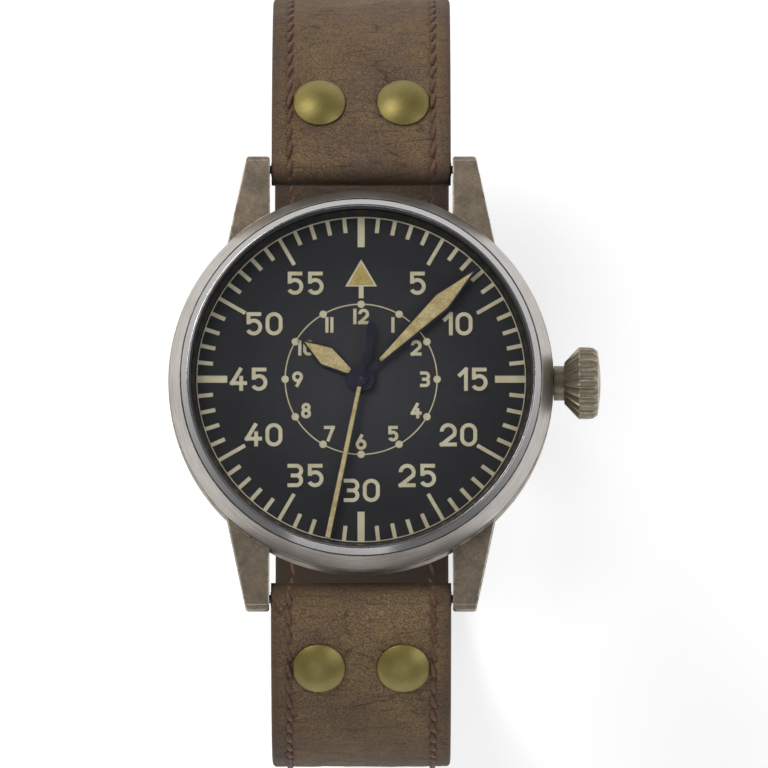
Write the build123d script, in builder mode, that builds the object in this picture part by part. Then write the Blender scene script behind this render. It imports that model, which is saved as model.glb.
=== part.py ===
from build123d import *
import os
from math import acos, cos, degrees, radians, sin

# Pilot's wristwatch. Millimetres; +Z to the crystal, +Y to twelve o'clock, +X to the crown.
# The origin is the centre of the case back's outer face.

# Levels of the movement, stacked upwards from the case back
back_wall = 1.4
rotor_floor_gap = 0.35
rotor_rim_height = 1.0
rotor_wheel_gap = 0.2
winding_wheel_thickness = 0.3
bridge_face_gap = 0.05
bridge_thickness = 0.6
wheel_thickness = 0.14
layer_gap = 0.12
barrel_height = 1.12
barrel_gap = 0.08
plate_thickness = 1.3
motion_room = 0.9
dial_thickness = 0.4

rotor_low = back_wall + rotor_floor_gap
rotor_high = rotor_low + rotor_rim_height
winding_low = rotor_high + rotor_wheel_gap
winding_high = winding_low + winding_wheel_thickness
bridge_low = winding_high + bridge_face_gap
bridge_high = bridge_low + bridge_thickness
fourth_low = bridge_high + layer_gap
fourth_high = fourth_low + wheel_thickness
third_low = fourth_high + layer_gap
third_high = third_low + wheel_thickness
center_low = third_high + layer_gap
center_high = center_low + wheel_thickness
barrel_low = center_high + layer_gap
barrel_high = barrel_low + barrel_height
plate_low = barrel_high + barrel_gap
plate_high = plate_low + plate_thickness
dial_low = plate_high + motion_room
dial_high = dial_low + dial_thickness

# Clearances that many pieces share
running_gap = 0.03          # shaft in its hole, radial
pivot_gap = 0.02            # pivot in its jewel, radial
seat_gap = 0.01             # fixed piece in its seat, radial
end_shake = 0.05            # arbor between its two bearings, each end
mesh_face_gap = 0.06        # pinion's end to the next wheel
cut_over = 0.5              # how far a cut runs past the face that it opens

# Case
case_radius = 21.0
case_wall_height = 3.0
case_wall_drop = 0.8        # dial face down to the top of the wall
case_edge = 0.15            # bevel at the top of the wall
case_foot_inset = 1.8       # wall in to the foot of the case
case_wall = 2.0
ring_ledge = 0.25           # case back's neck end to the movement ring's seat
neck_wall = 0.7
neck_rise = 0.8             # dial face up to the top of the bezel's seat
case_foot_radius = case_radius - case_foot_inset
case_bore = case_radius - case_wall
neck_radius = case_bore + neck_wall
case_high = dial_high - case_wall_drop + case_edge
case_wall_high = case_high - case_edge
case_wall_low = case_wall_high - case_wall_height
neck_high = dial_high + neck_rise

# Case back
back_inset = 1.2            # foot of the case in to the back's rim
back_bevel_width = 0.6      # rim in to the bevel
back_slope_width = 2.2      # rim in to the flat face
back_bevel_height = 0.75
back_rim_height = 0.1
back_flange = 1.5
back_neck_inset = 1.4       # rim in to the neck
back_neck_wall = 1.0
back_neck_height = 1.6
back_neck_gap = 0.05
key_slots = 6
key_slot_width = 1.8
key_slot_reach = 1.0
back_gasket_gap = 0.4       # neck out to the gasket
back_gasket_width = 0.5
back_gasket_height = 0.33
gasket_room = 0.02
back_radius = case_foot_radius - back_inset
back_bevel_radius = back_radius - back_bevel_width
back_face_radius = back_radius - back_slope_width
back_neck_radius = back_radius - back_neck_inset
back_gasket_inner = back_neck_radius + back_gasket_gap
case_low = back_flange
back_neck_top = back_flange + back_neck_height
ring_low = back_neck_top + ring_ledge

# Lugs and spring bars
strap_end_radius = 1.75
strap_end_gap = 0.95        # strap's rolled end to the case wall
lug_gap = 20.0
lug_past_bar = 1.3          # spring bar's centre to the lug's tip
lug_tip_half = 12.5         # outer edge at the tip, from the centre line
lug_root_inset = 5.95       # case wall in to the root of the lug
lug_root_half = 14.6
lug_foot = 4.05             # root on into the case
lug_tip_drop = 0.55         # wall's top down to the tip's top
lug_crest_drop = 0.14       # and to the middle of the lug's curved top
lug_nose = 0.5
lug_tip_height = 2.7
lug_belly = 4.6             # wall's top down to the lug's lower edge at the case
lug_taper = 5.5             # tip to the end of the lug's full height
lug_edge = 0.35
bar_drop = 2.1              # wall's top down to the spring bar
bar_radius = 0.75
bar_tip_radius = 0.45
bar_tip_length = 1.1
bar_end_gap = 0.15
bar_tip_gap = 0.05
bar_level = case_wall_high - bar_drop
bar_reach = case_radius + strap_end_gap + strap_end_radius
lug_tip = bar_reach + lug_past_bar
lug_root = case_radius - lug_root_inset
lug_start = lug_root - lug_foot
lug_belly_end = lug_tip - lug_taper

# Bezel, crystal and flange
bezel_rise = 2.6            # dial face up to the bezel's inner edge
bezel_inset = 0.1           # case wall in to the bezel's rim
bezel_slope_width = 1.25    # rim in to the groove
bezel_land = 0.2
bezel_groove_width = 0.12
bezel_groove_depth = 0.16
bezel_step_drop = 0.55      # inner edge down to the groove's edge
bezel_rim_height = 0.5
bezel_seat_gap = 0.05
bezel_high = dial_high + bezel_rise
flange_gap = 0.1            # case bore in to the flange
flange_width = 0.95
flange_step = 0.25          # foot in to the upper part
flange_top_wall = 0.25
flange_foot_height = 0.7
flange_top_rise = 1.3       # dial face up to the crystal's seat
crystal_inset = 0.15        # flange's upper part in to the crystal
crystal_gasket_width = 0.25
crystal_seat_width = 0.9
crystal_edge_drop = 0.05    # bezel's inner edge down to the crystal's edge
crystal_dome = 1.2
crystal_hollow = 1.0        # seat up to the underside at the centre
crystal_gasket_gap = 0.02
crystal_gasket_drop = 0.1
flange_outer = case_bore - flange_gap
flange_foot_bore = flange_outer - flange_width
flange_top_radius = flange_outer - flange_step
flange_top_bore = flange_top_radius - flange_top_wall
crystal_radius = flange_top_radius - crystal_inset
bezel_bore = crystal_radius + crystal_gasket_width
bezel_radius = case_radius - bezel_inset
bezel_groove_radius = bezel_radius - bezel_slope_width
crystal_low = dial_high + flange_top_rise
crystal_edge_high = bezel_high - crystal_edge_drop

# Crown, tube and stem
stem_drop = 2.5             # dial face down to the stem
stem_radius = 0.5
stem_pilot_radius = 0.3
stem_end = 6.3
stem_pilot_length = 0.9
stem_thread = 0.95          # stem's end in the crown, past its socket
tube_radius = 1.9
tube_shank_radius = 1.3
tube_bore = 0.65
tube_length = 3.0
crown_gap = 1.15            # case wall out to the crown's neck
crown_neck_wall = 0.25
crown_cone = 1.58           # neck to the belly
crown_belly_radius = 3.9
crown_bulge = 0.055         # between belly and shoulder
crown_rim = 1.52            # belly to the shoulder
crown_narrowing = 0.05
crown_rounding = 0.52       # shoulder to the edge of the face
crown_face_inset = 0.38
crown_dome = 0.33
crown_socket_gap = 0.1      # round the tube
crown_socket_room = 0.25    # past the tube's end
crown_flutes = 22
flute_radius = 0.6
flute_depth = 0.4
neck_flute_radius = 0.3     # the flutes narrow along the cone to its neck
neck_flute_depth = 0.1
crown_gasket_inset = 0.8    # neck on to the gasket
crown_gasket_length = 0.6
crown_gasket_depth = 0.4
stem_level = dial_high - stem_drop
tube_start = case_radius
tube_end = tube_start + tube_length
crown_start = tube_start + crown_gap
crown_belly = crown_start + crown_cone
crown_shoulder = crown_belly + crown_rim
crown_face = crown_shoulder + crown_rounding
crown_end = crown_face + crown_dome
crown_socket_end = tube_end + crown_socket_room
stem_thread_end = crown_socket_end + stem_thread
crown_socket_radius = tube_radius + crown_socket_gap
crown_start_radius = crown_socket_radius + crown_neck_wall
crown_shoulder_radius = crown_belly_radius - crown_narrowing
crown_face_radius = crown_belly_radius - crown_face_inset
crown_radius = (crown_belly_radius + crown_shoulder_radius) / 2 + crown_bulge
crown_gasket_start = crown_start + crown_gasket_inset
crown_gasket_radius = crown_socket_radius + crown_gasket_depth

# Movement
movement_radius = 12.8
movement_gap = 0.1
ring_gap = 0.05
ring_stem_hole = 0.8
bridge_inset = 0.4          # plate's edge in to the bridges' edge
pillar_radius = 0.95
screw_head_radius = 0.57
screw_head_height = 0.26
screw_head_room = 0.04
screw_radius = 0.3
screw_into_plate = 0.8
screw_slot_width = 0.16
screw_slot_depth = 0.1
jewel_radius = 0.42
jewel_thickness = 0.25
pivot_radius = 0.09
pivot_short = 0.03          # pivot's end short of the jewel's far face
arbor_radius = 0.2
mesh_module = 0.11          # barrel and centre wheel
bridge_radius = movement_radius - bridge_inset

# Teeth: addendum and dedendum as shares of the module, half widths as shares of the pitch
addendum_share = 0.75
dedendum_share = 1.25
root_half_share = 0.29
tip_half_share = 0.11

barrel_teeth = 96
center_pinion_leaves = 12
center_teeth = 80
third_leaves = 10
third_teeth = 75
fourth_leaves = 10
fourth_teeth = 80
escape_leaves = 8
escape_module = 0.115
cannon_leaves = 12
minute_teeth = 36
cannon_module = 0.1
minute_leaves = 10
hour_teeth = 40
pinion_teeth = 12
contrate_teeth = 20
spur_teeth = 36
ratchet_teeth = 38
winding_module = 0.2

# Where the wheels stand
third_angle = -100.0
escape_angle = -165.0
minute_angle = -35.0
balance_distance = 8.6
pallet_to_escape = 2.54
pallet_to_balance = 2.96
crown_wheel_reach = 8.0


def polar(radius, angle, center=(0, 0)):
    return (center[0] + radius * cos(radians(angle)), center[1] + radius * sin(radians(angle)))


def triangle_angle(side_a, side_b, opposite):
    """The angle between two sides of a triangle, from its three sides."""
    return degrees(acos((side_a**2 + side_b**2 - opposite**2) / (2 * side_a * side_b)))


third_distance = (center_teeth + third_leaves) * mesh_module / 2
third_module = 2 * third_distance / (third_teeth + fourth_leaves)
escape_distance = (fourth_teeth + escape_leaves) * escape_module / 2
barrel_distance = (barrel_teeth + center_pinion_leaves) * mesh_module / 2
minute_distance = (cannon_leaves + minute_teeth) * cannon_module / 2
hour_module = 2 * minute_distance / (minute_leaves + hour_teeth)
winding_distance = (spur_teeth + ratchet_teeth) * winding_module / 2
barrel_angle = triangle_angle(barrel_distance, crown_wheel_reach, winding_distance)
balance_angle = escape_angle - triangle_angle(
    balance_distance, escape_distance, pallet_to_escape + pallet_to_balance
)

origin = (0, 0)
third_at = polar(third_distance, third_angle)
escape_at = polar(escape_distance, escape_angle)
barrel_at = polar(barrel_distance, barrel_angle)
balance_at = polar(balance_distance, balance_angle)
minute_at = polar(minute_distance, minute_angle)
crown_wheel_at = (crown_wheel_reach, 0)


def direction(start, end):
    away = Vector(*end) - Vector(*start)
    return degrees(acos(away.X / away.length)) * (1 if away.Y >= 0 else -1)


escapement_angle = direction(escape_at, balance_at)
pallet_at = polar(pallet_to_escape, escapement_angle, escape_at)

base = (Align.CENTER, Align.CENTER, Align.MIN)


def post(at, low, high, radius, mode=Mode.ADD):
    """A round post, or with Mode.SUBTRACT a round hole, between two levels."""
    with Locations((at[0], at[1], low)):
        Cylinder(radius, high - low, align=base, mode=mode)


def hole(at, low, high, radius):
    post(at, low, high, radius, mode=Mode.SUBTRACT)


def rod(start, end, radius, mode=Mode.ADD):
    """A round rod along X at the stem's level."""
    with Locations(Plane.YZ.offset(start) * Location((0, stem_level, 0))):
        Cylinder(radius, end - start, align=base, mode=mode)


def tooth_points(teeth, module, phase):
    """Corners of a gear's outline, with the middle of one tooth at the phase angle."""
    pitch = 360 / teeth
    root = module * teeth / 2 - dedendum_share * module
    tip = module * teeth / 2 + addendum_share * module
    corners = (
        (root, -root_half_share), (tip, -tip_half_share), (tip, tip_half_share), (root, root_half_share)
    )
    return [
        polar(radius, phase + pitch * (tooth + share))
        for tooth in range(teeth)
        for radius, share in corners
    ]


def gear_face(teeth, module, phase):
    with BuildSketch() as face:
        with BuildLine():
            Polyline(*tooth_points(teeth, module, phase), close=True)
        make_face()
    return face.sketch


def windows(outer, inner, spokes, spoke_width):
    """The openings between a wheel's rim, hub and spokes."""
    with BuildSketch() as openings:
        Circle(outer)
        Circle(inner, mode=Mode.SUBTRACT)
        with PolarLocations(0, spokes):
            Rectangle(outer + inner, spoke_width, align=(Align.MIN, Align.CENTER), mode=Mode.SUBTRACT)
    return openings.sketch


def gear(at, low, high, teeth, module, phase, bore=0, rim=0, hub=0, spokes=0):
    """A spur gear between two levels; rim, hub and spokes open it up into a wheel."""
    with BuildPart() as wheel:
        with BuildSketch(Plane.XY.offset(low)):
            with Locations(at):
                add(gear_face(teeth, module, phase))
                if spokes:
                    inner_rim = module * teeth / 2 - dedendum_share * module - rim
                    add(windows(inner_rim, hub, spokes, rim), mode=Mode.SUBTRACT)
                if bore:
                    Circle(bore, mode=Mode.SUBTRACT)
        extrude(amount=high - low)
    return wheel.part


def mesh_phases(start, end, far_teeth):
    """Phases that put a tooth of the first gear between two teeth of the second."""
    along = direction(start, end)
    return along, along + 180 + 180 / far_teeth


def arbor(at, low, high, radius):
    """A train arbor between bridge and plate: body, shoulders and two pivots."""
    post(at, low + end_shake, high - end_shake, radius)
    post(at, low - jewel_thickness + pivot_short, high + jewel_thickness - pivot_short, pivot_radius)


def spiral_face(start_radius, turns, pitch, width):
    """A flat spiral band of half circles, each a little larger than the last."""
    with BuildSketch() as face:
        with BuildLine():
            ends = []
            for offset in (-width / 2, width / 2):
                reach = -(start_radius + offset)
                for half in range(2 * turns):
                    radius = start_radius + offset + half * pitch / 2 + pitch / 4
                    middle = reach + radius if half % 2 == 0 else reach - radius
                    bow = radius if half % 2 == 0 else -radius
                    far = 2 * middle - reach
                    ThreePointArc((reach, 0), (middle, bow), (far, 0))
                    if half == 0:
                        ends.append((reach, 0))
                    reach = far
                ends.append((reach, 0))
            Line(ends[0], ends[2])
            Line(ends[1], ends[3])
        make_face()
    return face.sketch


# Case
lug_tip_high = case_wall_high - lug_tip_drop
lug_tip_low = lug_tip_high - lug_tip_height
lug_belly_low = case_wall_high - lug_belly
lug_slope = (lug_root_half - lug_tip_half) / (lug_tip - lug_root)
lug_start_half = lug_root_half + lug_slope * (lug_root - lug_start)

with BuildPart() as lug:
    with BuildSketch(Plane.XY.offset(lug_belly_low)) as lug_plan:
        with BuildLine():
            Polyline(
                (lug_gap / 2, lug_start), (lug_start_half, lug_start), (lug_tip_half, lug_tip),
                (lug_gap / 2, lug_tip), close=True,
            )
        make_face()
        fillet(lug_plan.vertices().group_by(Axis.Y)[-1], lug_edge)
    extrude(amount=lug_belly)
    with BuildSketch(Plane.YZ) as lug_side:
        with BuildLine():
            Line((lug_start, case_wall_high), (lug_root, case_wall_high))
            ThreePointArc(
                (lug_root, case_wall_high),
                ((lug_root + lug_tip - lug_nose) / 2, case_wall_high - lug_crest_drop),
                (lug_tip - lug_nose, lug_tip_high),
            )
            Polyline(
                (lug_tip - lug_nose, lug_tip_high), (lug_tip, lug_tip_high - lug_nose),
                (lug_tip, lug_tip_low + lug_nose), (lug_tip - lug_nose, lug_tip_low),
                (lug_belly_end, lug_belly_low), (lug_start, lug_belly_low), (lug_start, case_wall_high),
            )
        make_face()
    extrude(amount=lug_start_half, mode=Mode.INTERSECT)

with BuildPart() as case_middle:
    with BuildSketch(Plane.XZ) as case_section:
        with BuildLine():
            Polyline(
                (0, case_low), (case_foot_radius, case_low), (case_radius, case_wall_low),
                (case_radius, case_wall_high), (case_radius - case_edge, case_high),
                (neck_radius, case_high), (neck_radius, neck_high), (0, neck_high), close=True,
            )
        make_face()
    revolve(axis=Axis.Z)
    add(lug.part)
    mirror(lug.part, about=Plane.YZ)
    mirror(lug.part, about=Plane.XZ)
    mirror(lug.part.mirror(Plane.YZ), about=Plane.XZ)
    hole(origin, ring_low, neck_high + cut_over, case_bore)
    hole(origin, case_low - cut_over, ring_low, back_neck_radius + back_neck_gap)
    with BuildSketch(Plane.XY.offset(case_low)) as gasket_groove:
        Circle(back_gasket_inner + back_gasket_width + gasket_room)
        Circle(back_gasket_inner - gasket_room, mode=Mode.SUBTRACT)
    extrude(amount=back_gasket_height + gasket_room, mode=Mode.SUBTRACT)
    rod(back_neck_radius, case_radius + cut_over, tube_shank_radius + seat_gap, Mode.SUBTRACT)
    with BuildSketch(Plane.YZ) as bar_holes:
        with Locations((bar_reach, bar_level), (-bar_reach, bar_level)):
            Circle(bar_tip_radius + bar_tip_gap)
    extrude(amount=lug_gap / 2 + bar_tip_length + bar_end_gap, both=True, mode=Mode.SUBTRACT)

with BuildPart() as spring_bars:
    for side in (1, -1):
        with Locations(Plane.YZ * Location((side * bar_reach, bar_level, 0))):
            Cylinder(bar_radius, lug_gap - 2 * bar_end_gap)
            Cylinder(bar_tip_radius, lug_gap + 2 * bar_tip_length)

with BuildPart() as bezel:
    with BuildSketch(Plane.XZ) as bezel_section:
        bezel_seat = neck_high + bezel_seat_gap
        bezel_skirt = neck_radius + bezel_seat_gap
        groove_inner = bezel_groove_radius - bezel_groove_width / 2
        groove_outer = bezel_groove_radius + bezel_groove_width / 2
        groove_high = bezel_high - bezel_step_drop
        with BuildLine():
            Polyline(
                (bezel_bore, bezel_seat), (bezel_skirt, bezel_seat), (bezel_skirt, case_high),
                (bezel_radius, case_high), (bezel_radius, case_high + bezel_rim_height),
                (groove_outer, groove_high), (groove_outer, groove_high - bezel_groove_depth),
                (groove_inner, groove_high - bezel_groove_depth), (groove_inner, groove_high),
                (bezel_bore + bezel_land, bezel_high), (bezel_bore, bezel_high), close=True,
            )
        make_face()
    revolve(axis=Axis.Z)

with BuildPart() as rehaut_ring:
    with BuildSketch(Plane.XZ) as flange_section:
        with BuildLine():
            Polyline(
                (flange_foot_bore, dial_high), (flange_outer, dial_high),
                (flange_outer, dial_high + flange_foot_height), (flange_top_radius, neck_high),
                (flange_top_radius, crystal_low), (flange_top_bore, crystal_low), close=True,
            )
        make_face()
    revolve(axis=Axis.Z)

with BuildPart() as crystal:
    with BuildSketch(Plane.XZ) as crystal_section:
        crystal_window = crystal_radius - crystal_seat_width
        hollow_high = crystal_low + crystal_hollow
        dome_high = crystal_edge_high + crystal_dome
        with BuildLine():
            Line((crystal_window, crystal_low), (crystal_radius, crystal_low))
            Line((crystal_radius, crystal_low), (crystal_radius, crystal_edge_high))
            RadiusArc(
                (crystal_radius, crystal_edge_high), (0, dome_high),
                -(crystal_radius**2 + crystal_dome**2) / (2 * crystal_dome),
            )
            Line((0, dome_high), (0, hollow_high))
            RadiusArc(
                (0, hollow_high), (crystal_window, crystal_low),
                (crystal_window**2 + crystal_hollow**2) / (2 * crystal_hollow),
            )
        make_face()
    revolve(axis=Axis.Z)

with BuildPart() as crystal_gasket:
    with BuildSketch(Plane.XY.offset(crystal_low + crystal_gasket_drop)) as crystal_gasket_ring:
        Circle(bezel_bore - crystal_gasket_gap)
        Circle(crystal_radius + crystal_gasket_gap, mode=Mode.SUBTRACT)
    extrude(amount=crystal_edge_high - crystal_low - 2 * crystal_gasket_drop)

with BuildPart() as case_back:
    with BuildSketch(Plane.XZ) as back_section:
        back_neck_bore = back_neck_radius - back_neck_wall
        with BuildLine():
            Polyline(
                (0, 0), (back_face_radius, 0), (back_bevel_radius, back_bevel_height),
                (back_radius, back_bevel_height + back_rim_height), (back_radius, back_flange),
                (back_neck_radius, back_flange), (back_neck_radius, back_neck_top),
                (back_neck_bore, back_neck_top), (back_neck_bore, back_wall), (0, back_wall),
                close=True,
            )
        make_face()
    revolve(axis=Axis.Z)
    with PolarLocations(back_radius, key_slots):
        Box(
            2 * key_slot_reach, key_slot_width, back_rim_height + back_bevel_height,
            align=base, mode=Mode.SUBTRACT,
        )

with BuildPart() as case_back_gasket:
    with BuildSketch(Plane.XY.offset(case_low)) as back_gasket_ring:
        Circle(back_gasket_inner + back_gasket_width)
        Circle(back_gasket_inner, mode=Mode.SUBTRACT)
    extrude(amount=back_gasket_height)

# Crown
with BuildPart() as crown_tube:
    rod(case_bore, tube_start, tube_shank_radius)
    rod(tube_start, tube_end, tube_radius)
    rod(case_bore - cut_over, tube_end + cut_over, tube_bore, Mode.SUBTRACT)

stem_axis = Axis((0, 0, stem_level), (1, 0, 0))
flute_reach = crown_belly_radius - flute_depth + flute_radius
neck_flute_reach = crown_start_radius - neck_flute_depth + neck_flute_radius

with BuildPart() as cone_flute:
    with BuildSketch(Plane.YZ.offset(crown_start)) as neck_flute:
        with Locations((neck_flute_reach, stem_level)):
            Circle(neck_flute_radius)
    with BuildSketch(Plane.YZ.offset(crown_belly)) as belly_flute:
        with Locations((flute_reach, stem_level)):
            Circle(flute_radius)
    loft(ruled=True)

with BuildPart() as crown:
    with BuildSketch(Plane.XZ) as crown_section:
        gasket_end = crown_gasket_start + crown_gasket_length
        with BuildLine():
            Line(
                (crown_face, stem_level + crown_face_radius),
                (crown_shoulder, stem_level + crown_shoulder_radius),
            )
            ThreePointArc(
                (crown_shoulder, stem_level + crown_shoulder_radius),
                ((crown_shoulder + crown_belly) / 2, stem_level + crown_radius),
                (crown_belly, stem_level + crown_belly_radius),
            )
            Polyline(
                (crown_belly, stem_level + crown_belly_radius),
                (crown_start, stem_level + crown_start_radius),
                (crown_start, stem_level + crown_socket_radius),
                (crown_gasket_start, stem_level + crown_socket_radius),
                (crown_gasket_start, stem_level + crown_gasket_radius),
                (gasket_end, stem_level + crown_gasket_radius),
                (gasket_end, stem_level + crown_socket_radius),
                (crown_socket_end, stem_level + crown_socket_radius),
                (crown_socket_end, stem_level), (crown_end, stem_level),
            )
            RadiusArc(
                (crown_end, stem_level), (crown_face, stem_level + crown_face_radius),
                -(crown_face_radius**2 + (crown_end - crown_face) ** 2) / (2 * (crown_end - crown_face)),
            )
        make_face()
    revolve(axis=stem_axis)
    rod(crown_socket_end - cut_over, stem_thread_end, stem_radius + seat_gap, Mode.SUBTRACT)
    with BuildSketch(Plane.YZ.offset(crown_belly)) as flutes:
        with Locations((0, stem_level)):
            with PolarLocations(flute_reach, crown_flutes):
                Circle(flute_radius)
    extrude(amount=crown_end - crown_belly + cut_over, mode=Mode.SUBTRACT)
    for flute in range(crown_flutes):
        add(cone_flute.part.rotate(stem_axis, 360 / crown_flutes * flute), mode=Mode.SUBTRACT)

with BuildPart() as crown_gasket:
    rod(
        crown_gasket_start + gasket_room, crown_gasket_start + crown_gasket_length - gasket_room,
        crown_gasket_radius - gasket_room,
    )
    rod(
        crown_gasket_start, crown_gasket_start + crown_gasket_length, tube_radius + running_gap,
        Mode.SUBTRACT,
    )

with BuildPart() as winding_stem:
    rod(stem_end, stem_end + stem_pilot_length, stem_pilot_radius)
    rod(stem_end + stem_pilot_length, stem_thread_end - seat_gap, stem_radius)

# Keyless works on the stem
pinion_start = 9.55
pinion_length = 0.9
pinion_tip = 1.1
pinion_root = 0.72
clutch_gap = 0.12
clutch_length = 1.4
clutch_radius = 0.8
clutch_neck_radius = 0.65
clutch_groove_width = 0.4
winding_tooth_half = 7.0    # half a pinion tooth, degrees at its tip
pinion_end = pinion_start + pinion_length
clutch_end = pinion_start - clutch_gap
clutch_start = clutch_end - clutch_length


def pointed_face(teeth, root, tip, root_half, tip_half, phase):
    """A toothed disc's outline from its radii and the half angles of a tooth."""
    corners = ((root, -root_half), (tip, -tip_half), (tip, tip_half), (root, root_half))
    points = [
        polar(radius, phase + 360 / teeth * tooth + half)
        for tooth in range(teeth)
        for radius, half in corners
    ]
    with BuildSketch() as face:
        with BuildLine():
            Polyline(*points, close=True)
        make_face()
    return face.sketch


with BuildPart() as winding_pinion:
    with BuildSketch(Plane.YZ.offset(pinion_start)) as pinion_section:
        with Locations((0, stem_level)):
            add(pointed_face(
                pinion_teeth, pinion_root, pinion_tip, winding_tooth_half, winding_tooth_half / 2,
                -90 + 180 / pinion_teeth,
            ))
            Circle(stem_radius + running_gap, mode=Mode.SUBTRACT)
    extrude(amount=pinion_length)

with BuildPart() as sliding_clutch:
    rod(clutch_start, clutch_end, clutch_radius)
    groove_start = (clutch_start + clutch_end - clutch_groove_width) / 2
    with BuildSketch(Plane.YZ.offset(groove_start)) as clutch_groove:
        with Locations((0, stem_level)):
            Circle(clutch_radius)
            Circle(clutch_neck_radius, mode=Mode.SUBTRACT)
    extrude(amount=clutch_groove_width, mode=Mode.SUBTRACT)
    rod(clutch_start - cut_over, clutch_end + cut_over, stem_radius + running_gap, Mode.SUBTRACT)

contrate_tip = 1.85
contrate_root = 1.43
contrate_tooth_half = 3.4   # half a tooth at its root, degrees
contrate_engagement = 0.2   # how far its teeth stand above the pinion's lowest tip
contrate_thickness = 0.3
crown_hub_radius = 0.8
crown_core_radius = 0.6
contrate_high = stem_level - pinion_tip + contrate_engagement
contrate_low = contrate_high - contrate_thickness
spur_phase, ratchet_phase = mesh_phases(crown_wheel_at, barrel_at, ratchet_teeth)

with BuildPart() as crown_wheel:
    with BuildSketch(Plane.XY.offset(contrate_low)) as contrate_section:
        with Locations(crown_wheel_at):
            add(pointed_face(
                contrate_teeth, contrate_root, contrate_tip, contrate_tooth_half,
                contrate_tooth_half / 2, 0,
            ))
    extrude(amount=contrate_thickness)
    post(crown_wheel_at, bridge_high + end_shake, contrate_low, crown_hub_radius)
    post(crown_wheel_at, winding_low, bridge_high + end_shake, crown_core_radius)
    add(gear(
        crown_wheel_at, winding_low, winding_high, spur_teeth, winding_module, spur_phase,
        bore=crown_core_radius + seat_gap,
    ))

# Barrel
barrel_floor = 0.25
barrel_wall = 0.2
barrel_cover_thickness = 0.15
drum_step = 0.12            # teeth's root circle in to the drum
barrel_core_radius = 1.0
barrel_arbor_radius = 0.5
barrel_arbor_top = 0.6      # how far the arbor runs into the plate
ratchet_arbor_drop = 0.05
spring_width = 0.16
spring_pitch = 0.5
spring_turns = 6
spring_side_gap = 0.06
barrel_phase, center_pinion_phase = mesh_phases(barrel_at, origin, center_pinion_leaves)
drum_radius = mesh_module * (barrel_teeth / 2 - dedendum_share) - drum_step
barrel_floor_high = barrel_low + barrel_floor
barrel_cover_low = barrel_high - barrel_cover_thickness
cover_step = seat_gap

with BuildPart() as mainspring_barrel:
    add(gear(
        barrel_at, barrel_low, barrel_floor_high, barrel_teeth, mesh_module, barrel_phase,
        bore=barrel_arbor_radius + running_gap,
    ))
    with BuildSketch(Plane.XY.offset(barrel_floor_high)) as drum_section:
        with Locations(barrel_at):
            Circle(drum_radius)
            Circle(drum_radius - barrel_wall, mode=Mode.SUBTRACT)
    extrude(amount=barrel_cover_low - cover_step - barrel_floor_high)
    with BuildSketch(Plane.XY.offset(barrel_cover_low)) as cover_section:
        with Locations(barrel_at):
            Circle(drum_radius)
            Circle(barrel_arbor_radius + running_gap, mode=Mode.SUBTRACT)
    extrude(amount=barrel_cover_thickness)

with BuildPart() as barrel_arbor:
    post(barrel_at, winding_low - ratchet_arbor_drop, plate_low + barrel_arbor_top, barrel_arbor_radius)
    post(
        barrel_at, barrel_floor_high + running_gap, barrel_cover_low - running_gap - cover_step,
        barrel_core_radius,
    )

with BuildPart() as mainspring:
    with BuildSketch(Plane.XY.offset(barrel_floor_high + spring_side_gap)) as spring_section:
        with Locations(barrel_at):
            add(spiral_face(barrel_core_radius + spring_width, spring_turns, spring_pitch, spring_width))
    extrude(amount=barrel_cover_low - barrel_floor_high - 2 * spring_side_gap)

with BuildPart() as ratchet_wheel:
    add(gear(
        barrel_at, winding_low, winding_high, ratchet_teeth, winding_module, ratchet_phase,
        bore=barrel_arbor_radius + seat_gap,
    ))

click_pivot_distance = 5.6
click_pivot_angle = 100.0
click_tip_angle = 72.0
click_half_width = 0.42
click_tip_half = 0.15
click_gap = 0.06            # tip to the ratchet wheel's tip circle
click_pin_radius = 0.3
click_pin_length = 0.4
ratchet_tip = winding_module * (ratchet_teeth / 2 + addendum_share)
click_pivot = polar(click_pivot_distance, click_pivot_angle, barrel_at)
click_tip = polar(ratchet_tip + click_gap + click_tip_half, click_tip_angle, barrel_at)

with BuildPart() as click:
    with BuildSketch(Plane.XY.offset(winding_low)) as click_section:
        with BuildSketch(mode=Mode.PRIVATE) as click_ends:
            with Locations(click_pivot):
                Circle(click_half_width)
            with Locations(click_tip):
                Circle(click_tip_half)
        make_hull(click_ends.edges())
    extrude(amount=winding_wheel_thickness)
    post(click_pivot, winding_high, winding_high + click_pin_length, click_pin_radius)

# Going train
center_phase, third_pinion_phase = mesh_phases(origin, third_at, third_leaves)
third_phase, fourth_pinion_phase = mesh_phases(third_at, origin, fourth_leaves)
fourth_phase, escape_pinion_phase = mesh_phases(origin, escape_at, escape_leaves)
wheel_rim = 0.3
wheel_hub = 0.8
wheel_spokes = 4
center_tube_radius = 0.32
center_tube_bore = 0.2
seconds_arbor_radius = 0.16
hand_clearance = 0.18       # between one hand and the next
hour_hand_rise = 0.35       # dial face up to the hour hand
hour_hand_thickness = 0.12
minute_hand_thickness = 0.1
seconds_hand_thickness = 0.08
tube_stand = 0.02           # tube's end above its hand
hour_hand_low = dial_high + hour_hand_rise
hour_hand_high = hour_hand_low + hour_hand_thickness
minute_hand_low = hour_hand_high + hand_clearance
minute_hand_high = minute_hand_low + minute_hand_thickness
seconds_hand_low = minute_hand_high + hand_clearance
seconds_hand_high = seconds_hand_low + seconds_hand_thickness

with BuildPart() as center_wheel:
    add(gear(
        origin, center_low, center_high, center_teeth, mesh_module, center_phase,
        rim=wheel_rim, hub=wheel_hub, spokes=wheel_spokes,
    ))
    add(gear(
        origin, center_high, barrel_floor_high + mesh_face_gap, center_pinion_leaves, mesh_module,
        center_pinion_phase,
    ))
    post(origin, center_high, hour_hand_low, center_tube_radius)
    hole(origin, center_low - cut_over, hour_hand_low + cut_over, center_tube_bore)

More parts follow.
